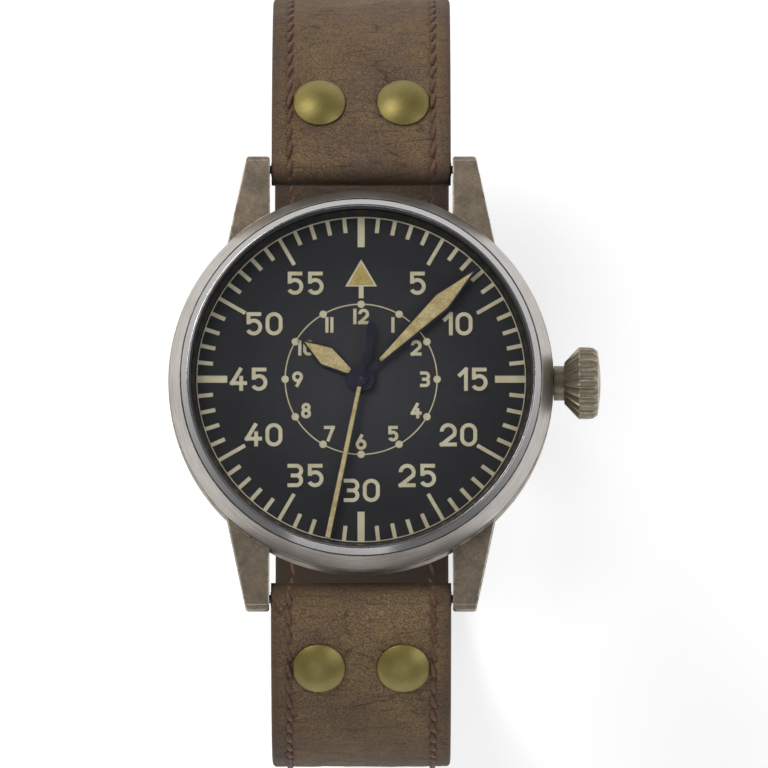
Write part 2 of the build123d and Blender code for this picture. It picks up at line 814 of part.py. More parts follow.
with BuildPart() as third_wheel:
    add(gear(
        third_at, third_low, third_high, third_teeth, third_module, third_phase,
        rim=wheel_rim, hub=wheel_hub, spokes=wheel_spokes,
    ))
    add(gear(
        third_at, third_high, center_high + mesh_face_gap, third_leaves, mesh_module,
        third_pinion_phase,
    ))
    arbor(third_at, bridge_high, plate_low, arbor_radius)

with BuildPart() as fourth_wheel:
    add(gear(
        origin, fourth_low, fourth_high, fourth_teeth, escape_module, fourth_phase,
        rim=wheel_rim, hub=wheel_hub, spokes=wheel_spokes,
    ))
    add(gear(
        origin, fourth_high, center_low - mesh_face_gap, fourth_leaves, third_module,
        fourth_pinion_phase,
    ))
    post(origin, bridge_high + end_shake, seconds_hand_high + tube_stand, seconds_arbor_radius)
    post(origin, bridge_high - jewel_thickness + pivot_short, fourth_low, pivot_radius)

escape_rise = 1.3           # bridge up to the escape wheel
escape_tip = 2.0
escape_root = 1.45
escape_rim = 0.22
escape_hub = 0.5
escape_teeth = 15
escape_lean = 9.0           # the tooth's tip ahead of its root, degrees
escape_back = 15.0          # the tooth's back behind its root, degrees
escape_land = 1.2
escape_low = bridge_high + escape_rise

with BuildPart() as escape_wheel:
    with BuildSketch(Plane.XY.offset(escape_low)) as escape_section:
        escape_points = [
            polar(radius, 360 / escape_teeth * tooth + angle)
            for tooth in range(escape_teeth)
            for radius, angle in (
                (escape_root, 0), (escape_tip, escape_lean), (escape_tip, escape_lean + escape_land),
                (escape_root, escape_back),
            )
        ]
        with Locations(escape_at):
            with BuildSketch(mode=Mode.PRIVATE) as escape_face:
                with BuildLine():
                    Polyline(*escape_points, close=True)
                make_face()
            add(escape_face.sketch)
            add(
                windows(escape_root - escape_rim, escape_hub, wheel_spokes, escape_rim),
                mode=Mode.SUBTRACT,
            )
    extrude(amount=wheel_thickness)
    add(gear(
        escape_at, bridge_high + mesh_face_gap, fourth_high + mesh_face_gap, escape_leaves,
        escape_module, escape_pinion_phase,
    ))
    arbor(escape_at, bridge_high, plate_low, arbor_radius)

# Pallet fork, along the line from escape wheel to balance
pallet_bridge_drop = 0.45   # escape wheel down to the pallet bridge
pallet_bridge_thickness = 0.25
pallet_arbor_radius = 0.14
pallet_bridge_low = escape_low - pallet_bridge_drop
pallet_bridge_high = pallet_bridge_low + pallet_bridge_thickness
fork_reach = 2.2            # pivot to the tips of the horns
fork_half = 0.13
horn_half = 0.36
horn_length = 0.45
notch_half = 0.16
arm_back = 0.45             # pallet stones behind the pivot
arm_reach = 1.25            # and to each side
arm_half = 0.16
stone_half = 0.13
fork_hub = 0.36


def across(at, along, aside):
    """A point along and beside the line from the escape wheel to the balance."""
    return polar(aside, escapement_angle + 90, polar(along, escapement_angle, at))


with BuildPart() as pallet_fork:
    with BuildSketch(Plane.XY.offset(escape_low)) as fork_section:
        with Locations(Location((*pallet_at, 0), (0, 0, escapement_angle))):
            Circle(fork_hub)
            Rectangle(fork_reach - horn_length, 2 * fork_half, align=(Align.MIN, Align.CENTER))
            with Locations((fork_reach - horn_length, 0)):
                Rectangle(horn_length, 2 * horn_half, align=(Align.MIN, Align.CENTER))
        with Locations(Location((*across(pallet_at, fork_reach, 0), 0), (0, 0, escapement_angle))):
            Rectangle(horn_length, 2 * notch_half, mode=Mode.SUBTRACT)
        for side in (1, -1):
            with BuildSketch(mode=Mode.PRIVATE) as arm:
                with Locations(pallet_at):
                    Circle(arm_half)
                with Locations(across(pallet_at, -arm_back, side * arm_reach)):
                    Circle(stone_half)
            make_hull(arm.edges())
    extrude(amount=wheel_thickness)
    arbor(pallet_at, pallet_bridge_high, plate_low, pallet_arbor_radius)

balance_radius = 3.6
balance_rim_width = 0.45
balance_rise = 0.3          # cock up to the balance
balance_thickness = 0.25
balance_arm = 0.5
balance_hub = 0.55
staff_radius = 0.22
roller_radius = 0.9
roller_thickness = 0.1
roller_drop = 0.3           # fork down to the roller
impulse_reach = 0.72
impulse_radius = 0.1
impulse_gap = 0.08          # impulse jewel's end short of the fork
balance_low = bridge_high + balance_rise
roller_low = escape_low - roller_drop

with BuildPart() as balance_wheel:
    with BuildSketch(Plane.XY.offset(balance_low)) as balance_section:
        with Locations(Location((*balance_at, 0), (0, 0, escapement_angle + 90))):
            Circle(balance_radius)
            Circle(balance_radius - balance_rim_width, mode=Mode.SUBTRACT)
            Rectangle(2 * balance_radius - balance_rim_width, balance_arm)
            Circle(balance_hub)
    extrude(amount=balance_thickness)
    arbor(balance_at, bridge_high, plate_low, staff_radius)
    post(balance_at, roller_low, roller_low + roller_thickness, roller_radius)
    post(
        polar(impulse_reach, escapement_angle + 180, balance_at), roller_low,
        escape_low - impulse_gap, impulse_radius,
    )

hairspring_start = 0.6
hairspring_turns = 8
hairspring_pitch = 0.26
hairspring_width = 0.08
hairspring_height = 0.14
hairspring_gap = 0.05
stud_radius = 0.18

with BuildPart() as hairspring:
    with BuildSketch(Plane.XY.offset(bridge_high + hairspring_gap)) as hairspring_section:
        with Locations(Location((*balance_at, 0), (0, 0, escapement_angle + 180))):
            add(spiral_face(hairspring_start, hairspring_turns, hairspring_pitch, hairspring_width))
    extrude(amount=hairspring_height)
    stud_at = polar(
        hairspring_start + hairspring_turns * hairspring_pitch, escapement_angle, balance_at
    )
    post(stud_at, bridge_high, bridge_high + hairspring_gap + hairspring_height, stud_radius)

# Motion work
cannon_low = plate_high + end_shake
cannon_tooth_height = 0.25
cannon_tube_radius = 0.46
minute_wheel_rise = 0.1
hour_wheel_thickness = 0.15
hour_tube_radius = 0.75
minute_stud_radius = 0.2
minute_pinion_height = 0.42
cannon_phase, minute_phase = mesh_phases(origin, minute_at, minute_teeth)
hour_phase, minute_pinion_phase = mesh_phases(origin, minute_at, minute_leaves)
cannon_tooth_high = cannon_low + cannon_tooth_height
hour_wheel_low = cannon_tooth_high + end_shake
minute_wheel_low = plate_high + minute_wheel_rise
minute_wheel_high = minute_wheel_low + wheel_thickness

with BuildPart() as cannon_pinion:
    add(gear(origin, cannon_low, cannon_tooth_high, cannon_leaves, cannon_module, cannon_phase))
    post(origin, cannon_low, minute_hand_high + tube_stand, cannon_tube_radius)
    hole(origin, cannon_low - cut_over, minute_hand_high + cut_over, center_tube_radius + seat_gap)

with BuildPart() as hour_wheel:
    add(gear(
        origin, hour_wheel_low, hour_wheel_low + hour_wheel_thickness, hour_teeth, hour_module,
        hour_phase,
    ))
    post(origin, hour_wheel_low, hour_hand_high + tube_stand, hour_tube_radius)
    hole(origin, hour_wheel_low - cut_over, hour_hand_high + cut_over, cannon_tube_radius + running_gap)

with BuildPart() as minute_wheel:
    add(gear(
        minute_at, minute_wheel_low, minute_wheel_high, minute_teeth, cannon_module, minute_phase
    ))
    add(gear(
        minute_at, minute_wheel_high, minute_wheel_high + minute_pinion_height, minute_leaves,
        hour_module, minute_pinion_phase,
    ))
    hole(
        minute_at, minute_wheel_low - cut_over, minute_wheel_high + minute_pinion_height + cut_over,
        minute_stud_radius + running_gap,
    )

# Bridges: each stands on pillars, and a screw runs through every pillar into the plate
divide_angle = 31.0         # towards the barrel bridge, square to the gap between the bridges
divide_reach = 2.6
divide_gap = 0.2
pillar_inset = 1.0          # bridges' edge in to the pillars
inner_pillar_inset = 1.4
cock_foot_inset = 1.6
pillar_reach = bridge_radius - pillar_inset
inner_pillar_reach = bridge_radius - inner_pillar_inset
cock_foot_reach = bridge_radius - cock_foot_inset
barrel_pillar_angles = (100.0, 20.0, -40.0)
train_pillar_angles = (-90.0, -135.0)
inner_pillar_angle = 120.0
cock_foot_angle = 188.0
barrel_pillars = tuple(polar(pillar_reach, angle) for angle in barrel_pillar_angles)
train_pillars = (
    *(polar(pillar_reach, angle) for angle in train_pillar_angles),
    polar(inner_pillar_reach, inner_pillar_angle),
)
cock_foot = polar(cock_foot_reach, cock_foot_angle)
cock_half_width = 1.3
balance_opening = 4.1


def bridge_blank(keep):
    """The part of the bridges' disc on one side of the dividing gap, as a face."""
    with BuildSketch() as blank:
        Circle(bridge_radius)
        with BuildSketch(mode=Mode.PRIVATE) as side:
            with Locations(Location((*polar(divide_reach - divide_gap * (keep < 0), divide_angle), 0),
                                    (0, 0, divide_angle + 180 * (keep < 0)))):
                Rectangle(2 * bridge_radius, 2 * bridge_radius, align=(Align.MIN, Align.CENTER))
        add(side.sketch, mode=Mode.INTERSECT)
    return blank.sketch


def cock_face(half_width):
    with BuildSketch() as face:
        with BuildSketch(mode=Mode.PRIVATE) as ends:
            with Locations(balance_at, cock_foot):
                Circle(half_width)
        make_hull(ends.edges())
    return face.sketch


def pillar_holes(at):
    """A screw's hole through a bridge and its pillar, with room for the head."""
    hole(at, bridge_low, plate_low, screw_radius + running_gap)
    hole(at, bridge_low - cut_over, bridge_low + screw_head_height + screw_head_room,
         screw_head_radius + running_gap)


def jewel_seat(at, low):
    hole(at, low - bridge_thickness, low + plate_thickness, jewel_radius + seat_gap)


with BuildPart() as barrel_bridge:
    with BuildSketch(Plane.XY.offset(bridge_low)) as barrel_bridge_plan:
        add(bridge_blank(1))
    extrude(amount=bridge_thickness)
    for at in barrel_pillars:
        post(at, bridge_low, plate_low, pillar_radius)
        pillar_holes(at)
    hole(barrel_at, bridge_low, bridge_high, barrel_arbor_radius + running_gap)
    hole(crown_wheel_at, bridge_low, bridge_high, crown_core_radius + running_gap)
    hole(click_pivot, bridge_low, bridge_high, click_pin_radius + running_gap)

with BuildPart() as train_bridge:
    with BuildSketch(Plane.XY.offset(bridge_low)) as train_bridge_plan:
        add(bridge_blank(-1))
        with Locations(balance_at):
            Circle(balance_opening, mode=Mode.SUBTRACT)
        add(cock_face(cock_half_width + divide_gap), mode=Mode.SUBTRACT)
    extrude(amount=bridge_thickness)
    for at in train_pillars:
        post(at, bridge_low, plate_low, pillar_radius)
        pillar_holes(at)
    for at in (origin, third_at, escape_at):
        jewel_seat(at, bridge_low)

with BuildPart() as balance_cock:
    with BuildSketch(Plane.XY.offset(bridge_low)) as cock_plan:
        add(cock_face(cock_half_width))
    extrude(amount=bridge_thickness)
    post(cock_foot, bridge_low, plate_low, pillar_radius)
    pillar_holes(cock_foot)
    jewel_seat(balance_at, bridge_low)

pallet_pillar_reach = 2.3
pallet_bridge_half = 0.55
pallet_ends = [across(pallet_at, 0, side * pallet_pillar_reach) for side in (1, -1)]

with BuildPart() as pallet_bridge:
    with BuildSketch(Plane.XY.offset(pallet_bridge_low)) as pallet_bridge_plan:
        with BuildSketch(mode=Mode.PRIVATE) as pallet_bridge_ends:
            with Locations(*pallet_ends):
                Circle(pallet_bridge_half)
        make_hull(pallet_bridge_ends.edges())
    extrude(amount=pallet_bridge_thickness)
    for at in pallet_ends:
        post(at, pallet_bridge_high, plate_low, pallet_bridge_half)
    jewel_seat(pallet_at, pallet_bridge_low)

with BuildPart() as jewels:
    plate_jewels = [(at, plate_low) for at in (third_at, escape_at, pallet_at, balance_at)]
    bridge_jewels = [(at, bridge_high - jewel_thickness) for at in (origin, third_at, escape_at, balance_at)]
    for at, low in plate_jewels + bridge_jewels + [(pallet_at, pallet_bridge_high - jewel_thickness)]:
        with BuildSketch(Plane.XY.offset(low)):
            with Locations(at):
                Circle(jewel_radius)
                Circle(pivot_radius + pivot_gap, mode=Mode.SUBTRACT)
        extrude(amount=jewel_thickness)

with BuildPart() as bridge_screws:
    head_low = bridge_low + screw_head_room / 2
    for at in (*barrel_pillars, *train_pillars, cock_foot):
        post(at, head_low, head_low + screw_head_height, screw_head_radius)
        post(at, head_low, plate_low + screw_into_plate, screw_radius)
        with Locations((*at, head_low)):
            Box(
                2 * screw_head_radius, screw_slot_width, screw_slot_depth,
                align=base, mode=Mode.SUBTRACT,
            )

window_start = 7.0
window_half = 1.35
plate_boss_drop = 0.7
inner_boss_length = 0.85
inner_boss_half = 0.9
outer_boss_half = 1.5
pinion_end_gap = 0.3

with BuildPart() as mainplate:
    post(origin, plate_low, plate_high, movement_radius)
    window_end = pinion_end + pinion_end_gap
    boss_low = plate_low - plate_boss_drop
    with BuildSketch(Plane.XY.offset(boss_low)) as plate_bosses:
        with Locations((window_start, 0)):
            Rectangle(inner_boss_length, 2 * inner_boss_half, align=(Align.MAX, Align.CENTER))
        with Locations((window_end, 0)):
            Rectangle(
                bridge_radius - window_end, 2 * outer_boss_half, align=(Align.MIN, Align.CENTER)
            )
    extrude(amount=plate_boss_drop)
    with BuildSketch(Plane.XY.offset(plate_low)) as keyless_window:
        with Locations((window_start, 0)):
            Rectangle(window_end - window_start, 2 * window_half, align=(Align.MIN, Align.CENTER))
    extrude(amount=plate_thickness, mode=Mode.SUBTRACT)
    rod(stem_end - end_shake, window_start, stem_pilot_radius + running_gap, Mode.SUBTRACT)
    rod(window_end, movement_radius + cut_over, stem_radius + running_gap, Mode.SUBTRACT)
    hole(origin, plate_low, plate_high, center_tube_radius + running_gap)
    hole(barrel_at, plate_low, plate_high, barrel_arbor_radius + running_gap)
    for at in (third_at, escape_at, pallet_at, balance_at):
        hole(at, plate_low, plate_high, jewel_radius + seat_gap)
    for at in (*barrel_pillars, *train_pillars, cock_foot):
        hole(at, plate_low, plate_high, screw_radius + running_gap)
    post(minute_at, plate_high, minute_wheel_high + minute_pinion_height, minute_stud_radius)

# Casing
clamp_angles = (-62.0, 138.0)
clamp_thickness = 0.3
clamp_overlap = 1.1         # on the plate
clamp_length = 2.7
clamp_width = 2.2
clamp_screw_inset = 0.8     # clamp's end in to its screw
clamp_screw_depth = 1.2
pocket_room = 0.15
clamp_start = movement_radius - clamp_overlap
clamp_end = clamp_start + clamp_length
clamp_screw_reach = clamp_end - clamp_screw_inset


def clamp_plane(angle, level):
    return Plane(origin=(0, 0, level), x_dir=(*polar(1, angle), 0), z_dir=(0, 0, 1))


with BuildPart() as movement_ring:
    with BuildSketch(Plane.XY.offset(ring_low)) as ring_plan:
        Circle(case_bore - ring_gap)
        Circle(movement_radius + movement_gap, mode=Mode.SUBTRACT)
    extrude(amount=dial_low - ring_low)
    rod(movement_radius, case_bore, ring_stem_hole, Mode.SUBTRACT)
    for angle in clamp_angles:
        with BuildSketch(clamp_plane(angle, ring_low)) as pocket:
            with Locations((movement_radius, 0)):
                Rectangle(
                    clamp_end + pocket_room - movement_radius, clamp_width + 2 * pocket_room,
                    align=(Align.MIN, Align.CENTER),
                )
        extrude(amount=plate_low - ring_low, mode=Mode.SUBTRACT)
        hole(
            polar(clamp_screw_reach, angle), plate_low, plate_low + clamp_screw_depth + running_gap,
            screw_radius + running_gap,
        )

with BuildPart() as casing_clamps:
    for angle in clamp_angles:
        with BuildSketch(clamp_plane(angle, plate_low - clamp_thickness)) as clamp_plan:
            with Locations((clamp_start, 0)):
                Rectangle(clamp_end - clamp_start, clamp_width, align=(Align.MIN, Align.CENTER))
            with Locations((clamp_screw_reach, 0)):
                Circle(screw_radius + running_gap, mode=Mode.SUBTRACT)
        extrude(amount=clamp_thickness)

with BuildPart() as clamp_screws:
    clamp_head_high = plate_low - clamp_thickness
    for angle in clamp_angles:
        at = polar(clamp_screw_reach, angle)
        post(at, clamp_head_high - screw_head_height, clamp_head_high, screw_head_radius)
        post(at, clamp_head_high, plate_low + clamp_screw_depth, screw_radius)

# Rotor
bearing_radius = 1.1
bearing_foot_radius = 1.5
bearing_foot = 0.2
rotor_hub_radius = 1.9
rotor_web_thickness = 0.3
rotor_web_inset = 0.1
rotor_radius = 12.4
rotor_rim_width = 2.1
rotor_cap_thickness = 0.2
rotor_hub_height = 0.5
rotor_hub_low = rotor_high - rotor_hub_height

with BuildPart() as rotor_bearing:
    post(origin, rotor_hub_low - end_shake, bridge_low, bearing_radius)
    post(origin, bridge_low - bearing_foot, bridge_low, bearing_foot_radius)
    post(
        origin, rotor_hub_low - end_shake - rotor_cap_thickness, rotor_hub_low - end_shake,
        bearing_foot_radius,
    )

with BuildPart() as oscillating_weight:
    with BuildSketch(Plane.XY.offset(rotor_low)) as rim_plan:
        Circle(rotor_radius)
        Circle(rotor_radius - rotor_rim_width, mode=Mode.SUBTRACT)
        with Locations((0, rotor_hub_radius)):
            Rectangle(2 * rotor_radius, rotor_radius, align=(Align.CENTER, Align.MIN), mode=Mode.SUBTRACT)
    extrude(amount=rotor_rim_height)
    with BuildSketch(Plane.XY.offset(rotor_high - rotor_web_inset - rotor_web_thickness)) as web_plan:
        Circle(rotor_radius - rotor_rim_width / 2)
        with Locations((0, rotor_hub_radius)):
            Rectangle(2 * rotor_radius, rotor_radius, align=(Align.CENTER, Align.MIN), mode=Mode.SUBTRACT)
    extrude(amount=rotor_web_thickness)
    post(origin, rotor_hub_low, rotor_high, rotor_hub_radius)
    hole(origin, rotor_hub_low - cut_over, rotor_high + cut_over, bearing_radius + running_gap)

# Dial and its printing
dial_gap = 0.3              # case bore in to the dial
dial_hole = 0.85
print_height = 0.03
track_gap = 0.15            # flange's foot in to the minute track
track_line = 0.12
minute_mark_length = 1.63
minute_mark_width = 0.45
five_mark_length = 3.27
five_mark_width = 0.42
quarter_mark_width = 0.78
hour_circle_radius = 8.25
hour_circle_line = 0.14
hour_dot_radius = 0.41
triangle_inset = 4.6        # minute track in to the triangle
triangle_height = 3.0
triangle_half = 1.74
triangle_stem_half = 0.27
triangle_stem = 1.3
minute_figure_height = 2.56
minute_figure_width = 1.85
minute_figure_stroke = 0.43
minute_figure_inset = 5.6   # minute track in to the middle of its figures
hour_figure_height = 1.72
hour_figure_width = 1.19
hour_figure_stroke = 0.36
hour_figure_inset = 1.35    # hour circle in to the middle of its figures
figure_gap = 0.36           # between the two figures of a number
dial_radius = case_bore - dial_gap
track_radius = flange_foot_bore - track_gap
triangle_apex = track_radius - triangle_inset
triangle_base = triangle_apex - triangle_height
triangle_stem_end = triangle_base - triangle_stem
minute_figure_radius = track_radius - minute_figure_inset
hour_figure_radius = hour_circle_radius - hour_figure_inset

with BuildPart() as dial:
    post(origin, dial_low, dial_high, dial_radius)
    hole(origin, dial_low, dial_high, dial_hole)

with BuildPart() as dial_tracks:
    with BuildSketch(Plane.XY.offset(dial_high)) as track_plan:
        Circle(track_radius + track_line / 2)
        Circle(track_radius - track_line / 2, mode=Mode.SUBTRACT)
        for minute in range(60):
            length = five_mark_length if minute % 5 == 0 else minute_mark_length
            width = five_mark_width if minute % 5 == 0 else minute_mark_width
            width = quarter_mark_width if minute % 15 == 0 else width
            with Locations(Location((0, 0, 0), (0, 0, 6 * minute))):
                with Locations((track_radius, 0)):
                    Rectangle(length, width, align=(Align.MAX, Align.CENTER))
        Circle(hour_circle_radius + hour_circle_line / 2)
        Circle(hour_circle_radius - hour_circle_line / 2, mode=Mode.SUBTRACT)
        with PolarLocations(hour_circle_radius, 12):
            Circle(hour_dot_radius)
    extrude(amount=print_height)

with BuildPart() as triangle_marker:
    with BuildSketch(Plane.XY.offset(dial_high)) as triangle_plan:
        with BuildLine():
            Polyline(
                (0, triangle_apex), (triangle_half, triangle_base), (triangle_stem_half, triangle_base),
                (triangle_stem_half, triangle_stem_end), (-triangle_stem_half, triangle_stem_end),
                (-triangle_stem_half, triangle_base), (-triangle_half, triangle_base), close=True,
            )
        make_face()
    extrude(amount=print_height)


# A figure's bars, end to end, and the parts of rings that join them. A point is across and up,
# each as a share of the pen's half width and a share of its half height.
bar_shares = {
    "0": (((-1, 0), (1, -1), (-1, 0), (-1, 1)), ((1, 0), (1, -1), (1, 0), (-1, 1))),
    "1": (((0.4, 0), (0, -1), (0.4, 0), (0, 1)), ((-0.5, 0), (0, 0.45), (0.35, 0), (0, 1))),
    "2": (((0.82, 0), (-1.57, 1), (-1, 0), (0, -1)), ((-1, 0), (0, -1), (1, 0), (0, -1))),
    "3": (
        ((-0.8, 0), (0, 1), (1, -0.5), (0, 1)), ((-0.3, 0), (0, 0), (1, -0.5), (0, 0)),
        ((-0.8, 0), (0, -1), (1, -0.5), (0, -1)),
    ),
    "4": (
        ((0.25, 0), (0, 1), (-1, 0), (0, -0.4)), ((-1, 0), (0, -0.4), (1, 0), (0, -0.4)),
        ((0.4, 0), (0, 0.15), (0.4, 0), (0, -1)),
    ),
    "5": (((0.85, 0), (0, 1), (-0.8, 0), (0, 1)), ((-0.8, 0), (0, 1), (-0.8, 0), (0, 0.15))),
    "6": (((-0.93, 0), (1.35, -1), (0.1, 0), (0, 1)),),
    "7": (((-1, 0), (0, 1), (1, 0), (0, 1)), ((1, 0), (0, 1), (-0.25, 0), (0, -1))),
    "8": (),
    "9": (((0.93, 0), (-1.35, 1), (-0.1, 0), (0, -1)),),
}
plain_one_shares = (((0, 0), (0, -1), (0, 0), (0, 1)),)
ring_shares = {             # centre's across and up, radius; then start and sweep in degrees
    "0": (((0, 0), (-1, 1), (1, 0), 0, 180), ((0, 0), (1, -1), (1, 0), 180, 180)),
    "2": (((0, 0), (-1, 1), (1, 0), -35, 215),),
    "3": (((1, -0.5), (0, 0.5), (0, 0.5), -90, 180), ((1, -0.5), (0, -0.5), (0, 0.5), -90, 180)),
    "5": (((0, 0), (1, -1), (1, 0), -150, 290),),
    "6": (((0, 0), (1, -1), (1, 0), 0, 360),),
    "8": (((0, 0), (0, 0.53), (0, 0.47), 0, 360), ((0, 0), (0, -0.46), (0, 0.54), 0, 360)),
    "9": (((0, 0), (-1, 1), (1, 0), 0, 360),),
}


def figure_face(figure, height, width, stroke, plain_one=False):
    """A plain figure drawn with one pen: straight bars and parts of rings."""
    half_width, half_height = (width - stroke) / 2, (height - stroke) / 2

    def measured(shares):
        return shares[0] * half_width + shares[1] * half_height

    bars = plain_one_shares if plain_one and figure == "1" else bar_shares[figure]
    with BuildSketch() as face:
        for bar in bars:
            x0, y0, x1, y1 = (measured(shares) for shares in bar)
            run = Vector(x1, y1) - Vector(x0, y0)
            turn = degrees(acos(run.X / run.length)) * (1 if run.Y >= 0 else -1)
            with Locations(Location(((x0 + x1) / 2, (y0 + y1) / 2, 0), (0, 0, turn))):
                Rectangle(run.length + stroke, stroke)
        for across_shares, up_shares, radius_shares, start, sweep in ring_shares.get(figure, ()):
            x, y, radius = measured(across_shares), measured(up_shares), measured(radius_shares)
            with BuildSketch(mode=Mode.PRIVATE) as ring:
                if sweep == 360:
                    Circle(radius + stroke / 2)
                    Circle(radius - stroke / 2, mode=Mode.SUBTRACT)
                else:
                    with BuildLine():
                        outer = CenterArc((0, 0), radius + stroke / 2, start, sweep)
                        inner = CenterArc((0, 0), radius - stroke / 2, start, sweep)
                        Line(outer @ 0, inner @ 0)
                        Line(outer @ 1, inner @ 1)
                    make_face()
            with Locations((x, y)):
                add(ring.sketch)
    return face.sketch


def number_places(number, radius, turn, width, gap, thin_one):
    """Each figure of a number with its centre, for a number centred at a radius and clock angle."""
    x, y = radius * sin(radians(turn)), radius * cos(radians(turn))
    widths = [thin_one if figure == "1" else width for figure in number]
    left = x - (sum(widths) + gap * (len(number) - 1)) / 2
    places = []
    for figure, wide in zip(number, widths):
        places.append((figure, (left + wide / 2, y)))
        left += wide + gap
    return places


with BuildPart() as dial_numerals:
    with BuildSketch(Plane.XY.offset(dial_high)) as numerals_plan:
        for minute in range(5, 60, 5):
            for figure, at in number_places(
                str(minute), minute_figure_radius, 6 * minute, minute_figure_width, figure_gap,
                2 * minute_figure_stroke,
            ):
                with Locations(at):
                    add(figure_face(figure, minute_figure_height, minute_figure_width, minute_figure_stroke))
        for hour in range(1, 13):
            for figure, at in number_places(
                str(hour), hour_figure_radius, 30 * hour, hour_figure_width, figure_gap / 2,
                hour_figure_stroke,
            ):
                with Locations(at):
                    add(figure_face(
                        figure, hour_figure_height, hour_figure_width, hour_figure_stroke,
                        plain_one=True,
                    ))
    extrude(amount=print_height)

# Hands, drawn towards twelve and turned to the time shown
hour_turn = 303.4
minute_turn = 46.1
seconds_turn = 191.7
hour_tip_gap = 0.25         # short of the hour circle
hour_belly = 4.5
hour_belly_half = 1.22
hour_foot = 1.1
hour_foot_half = 0.42
hour_border = 0.16
hour_hub = 1.6
minute_overhang = 0.15      # past the minute track
minute_belly = 12.2
minute_belly_half = 1.1
minute_foot = 2.7
minute_foot_half = 0.36
minute_stem_half = 0.28
minute_border = 0.165
minute_hub = 1.45
seconds_overhang = 0.35
seconds_half = 0.3
seconds_tail = 6.2
seconds_tail_half = 0.5
seconds_neck_half = 0.26
seconds_hub = 0.75
hour_tip = hour_circle_radius - hour_tip_gap
minute_tip = track_radius + minute_overhang
seconds_tip = track_radius + seconds_overhang


def upward(turn):
    """A hand's own frame: its length along +Y, turned clockwise from twelve."""
    return Location((0, 0, 0), (0, 0, -turn))


def diamond(tip, belly, belly_half, foot, foot_half):
    with BuildSketch() as face:
        with BuildLine():
            Polyline(
                (0, tip), (belly_half, belly), (foot_half, foot), (-foot_half, foot),
                (-belly_half, belly), close=True,
            )
        make_face()
    return face.sketch


def skeleton(tip, belly, belly_half, foot, foot_half, border):
    """An open diamond blade: its outline less the window that the luminous filling closes."""
    blade = diamond(tip, belly, belly_half, foot, foot_half)
    reach = border * (tip - belly) / belly_half + border
    window = diamond(tip - reach, belly, belly_half - border, foot + border, foot_half - border)
    with BuildSketch() as face:
        add(blade)
        add(window, mode=Mode.SUBTRACT)
    return face.sketch


with BuildPart() as hour_hand:
    with BuildSketch(Plane.XY.offset(hour_hand_low)) as hour_plan:
        with Locations(upward(hour_turn)):
            add(skeleton(hour_tip, hour_belly, hour_belly_half, hour_foot, hour_foot_half, hour_border))
        Circle(hour_hub)
        Circle(hour_tube_radius + seat_gap, mode=Mode.SUBTRACT)
    extrude(amount=hour_hand_thickness)

with BuildPart() as minute_hand:
    with BuildSketch(Plane.XY.offset(minute_hand_low)) as minute_plan:
        with Locations(upward(minute_turn)):
            add(skeleton(
                minute_tip, minute_belly, minute_belly_half, minute_foot, minute_foot_half,
                minute_border,
            ))
            Rectangle(2 * minute_stem_half, minute_foot + minute_border, align=(Align.CENTER, Align.MIN))
        Circle(minute_hub)
        Circle(cannon_tube_radius + seat_gap, mode=Mode.SUBTRACT)
    extrude(amount=minute_hand_thickness)

with BuildPart() as seconds_hand:
    with BuildSketch(Plane.XY.offset(seconds_hand_low)) as seconds_plan:
        with Locations(upward(seconds_turn)):
            with BuildSketch(mode=Mode.PRIVATE) as needle:
                with BuildLine():
                    Polyline(
                        (-seconds_half, seconds_tip), (seconds_half, seconds_tip),
                        (seconds_neck_half, 0), (seconds_tail_half, -seconds_tail),
                        (-seconds_tail_half, -seconds_tail), (-seconds_neck_half, 0), close=True,
                    )
                make_face()
            add(needle.sketch)
        Circle(seconds_hub)
        Circle(seconds_arbor_radius + seat_gap, mode=Mode.SUBTRACT)
    extrude(amount=seconds_hand_thickness)

# Strap: each half follows a path of arcs and lines in the side view, from its spring bar on.
# A path's point is (outwards from the centre line, level); headings turn from outwards to down.
strap_side_gap = 0.2        # strap's edge to the lug
leather = 1.5
lining = 0.9
glue = 0.02
bar_hole_gap = 0.1
strap_cut = 7.0             # length of a cut that goes through the strap
strap_width = lug_gap - 2 * strap_side_gap
arc_shares = (0, 0.5, 1)    # an arc's start, middle and end
short_heading = 6.0
short_bend_radius = 23.85   # over the near side of the wrist
short_turn_radius = 16.45   # under it
short_straight = 20.0
long_heading = 14.0
long_bend_radius = 18.45
long_side_radius = 44.25
long_side_turn = 40.0
long_turn_radius = 21.5
long_straight = 44.0
short_runs = (
    ("arc", short_bend_radius, 90 - short_heading),
    ("arc", short_turn_radius, 90),
    ("line", short_straight),
)
long_runs = (
    ("arc", long_bend_radius, 90 - long_heading),
    ("arc", long_side_radius, long_side_turn),
    ("arc", long_turn_radius, 90 - long_side_turn),
    ("line", long_straight),
)
top_offset = strap_end_radius
seam_offset = top_offset - leather
under_offset = seam_offset - glue - lining


def run_length(run):
    return run[1] if run[0] == "line" else run[1] * radians(run[2])


def along_path(heading, runs, distance):
    """The point and heading at a distance along a strap's path."""
    out, level = bar_reach, bar_level
    for run in runs:
        part = min(distance, run_length(run))
        if run[0] == "line":
            out += part * cos(radians(heading))
            level -= part * sin(radians(heading))
        else:
            center = (out - run[1] * sin(radians(heading)), level - run[1] * cos(radians(heading)))
            heading += degrees(part / run[1])
            out = center[0] + run[1] * sin(radians(heading))
            level = center[1] + run[1] * cos(radians(heading))
        distance -= part
        if distance <= 0:
            break
    return out, level, heading


def beside_path(side, heading, runs, distance, offset):
    """The point of a strap's side view at a distance along it and an offset outwards from it."""
    out, level, turned = along_path(heading, runs, distance)
    return (side * (out + offset * sin(radians(turned))), level + offset * cos(radians(turned)))


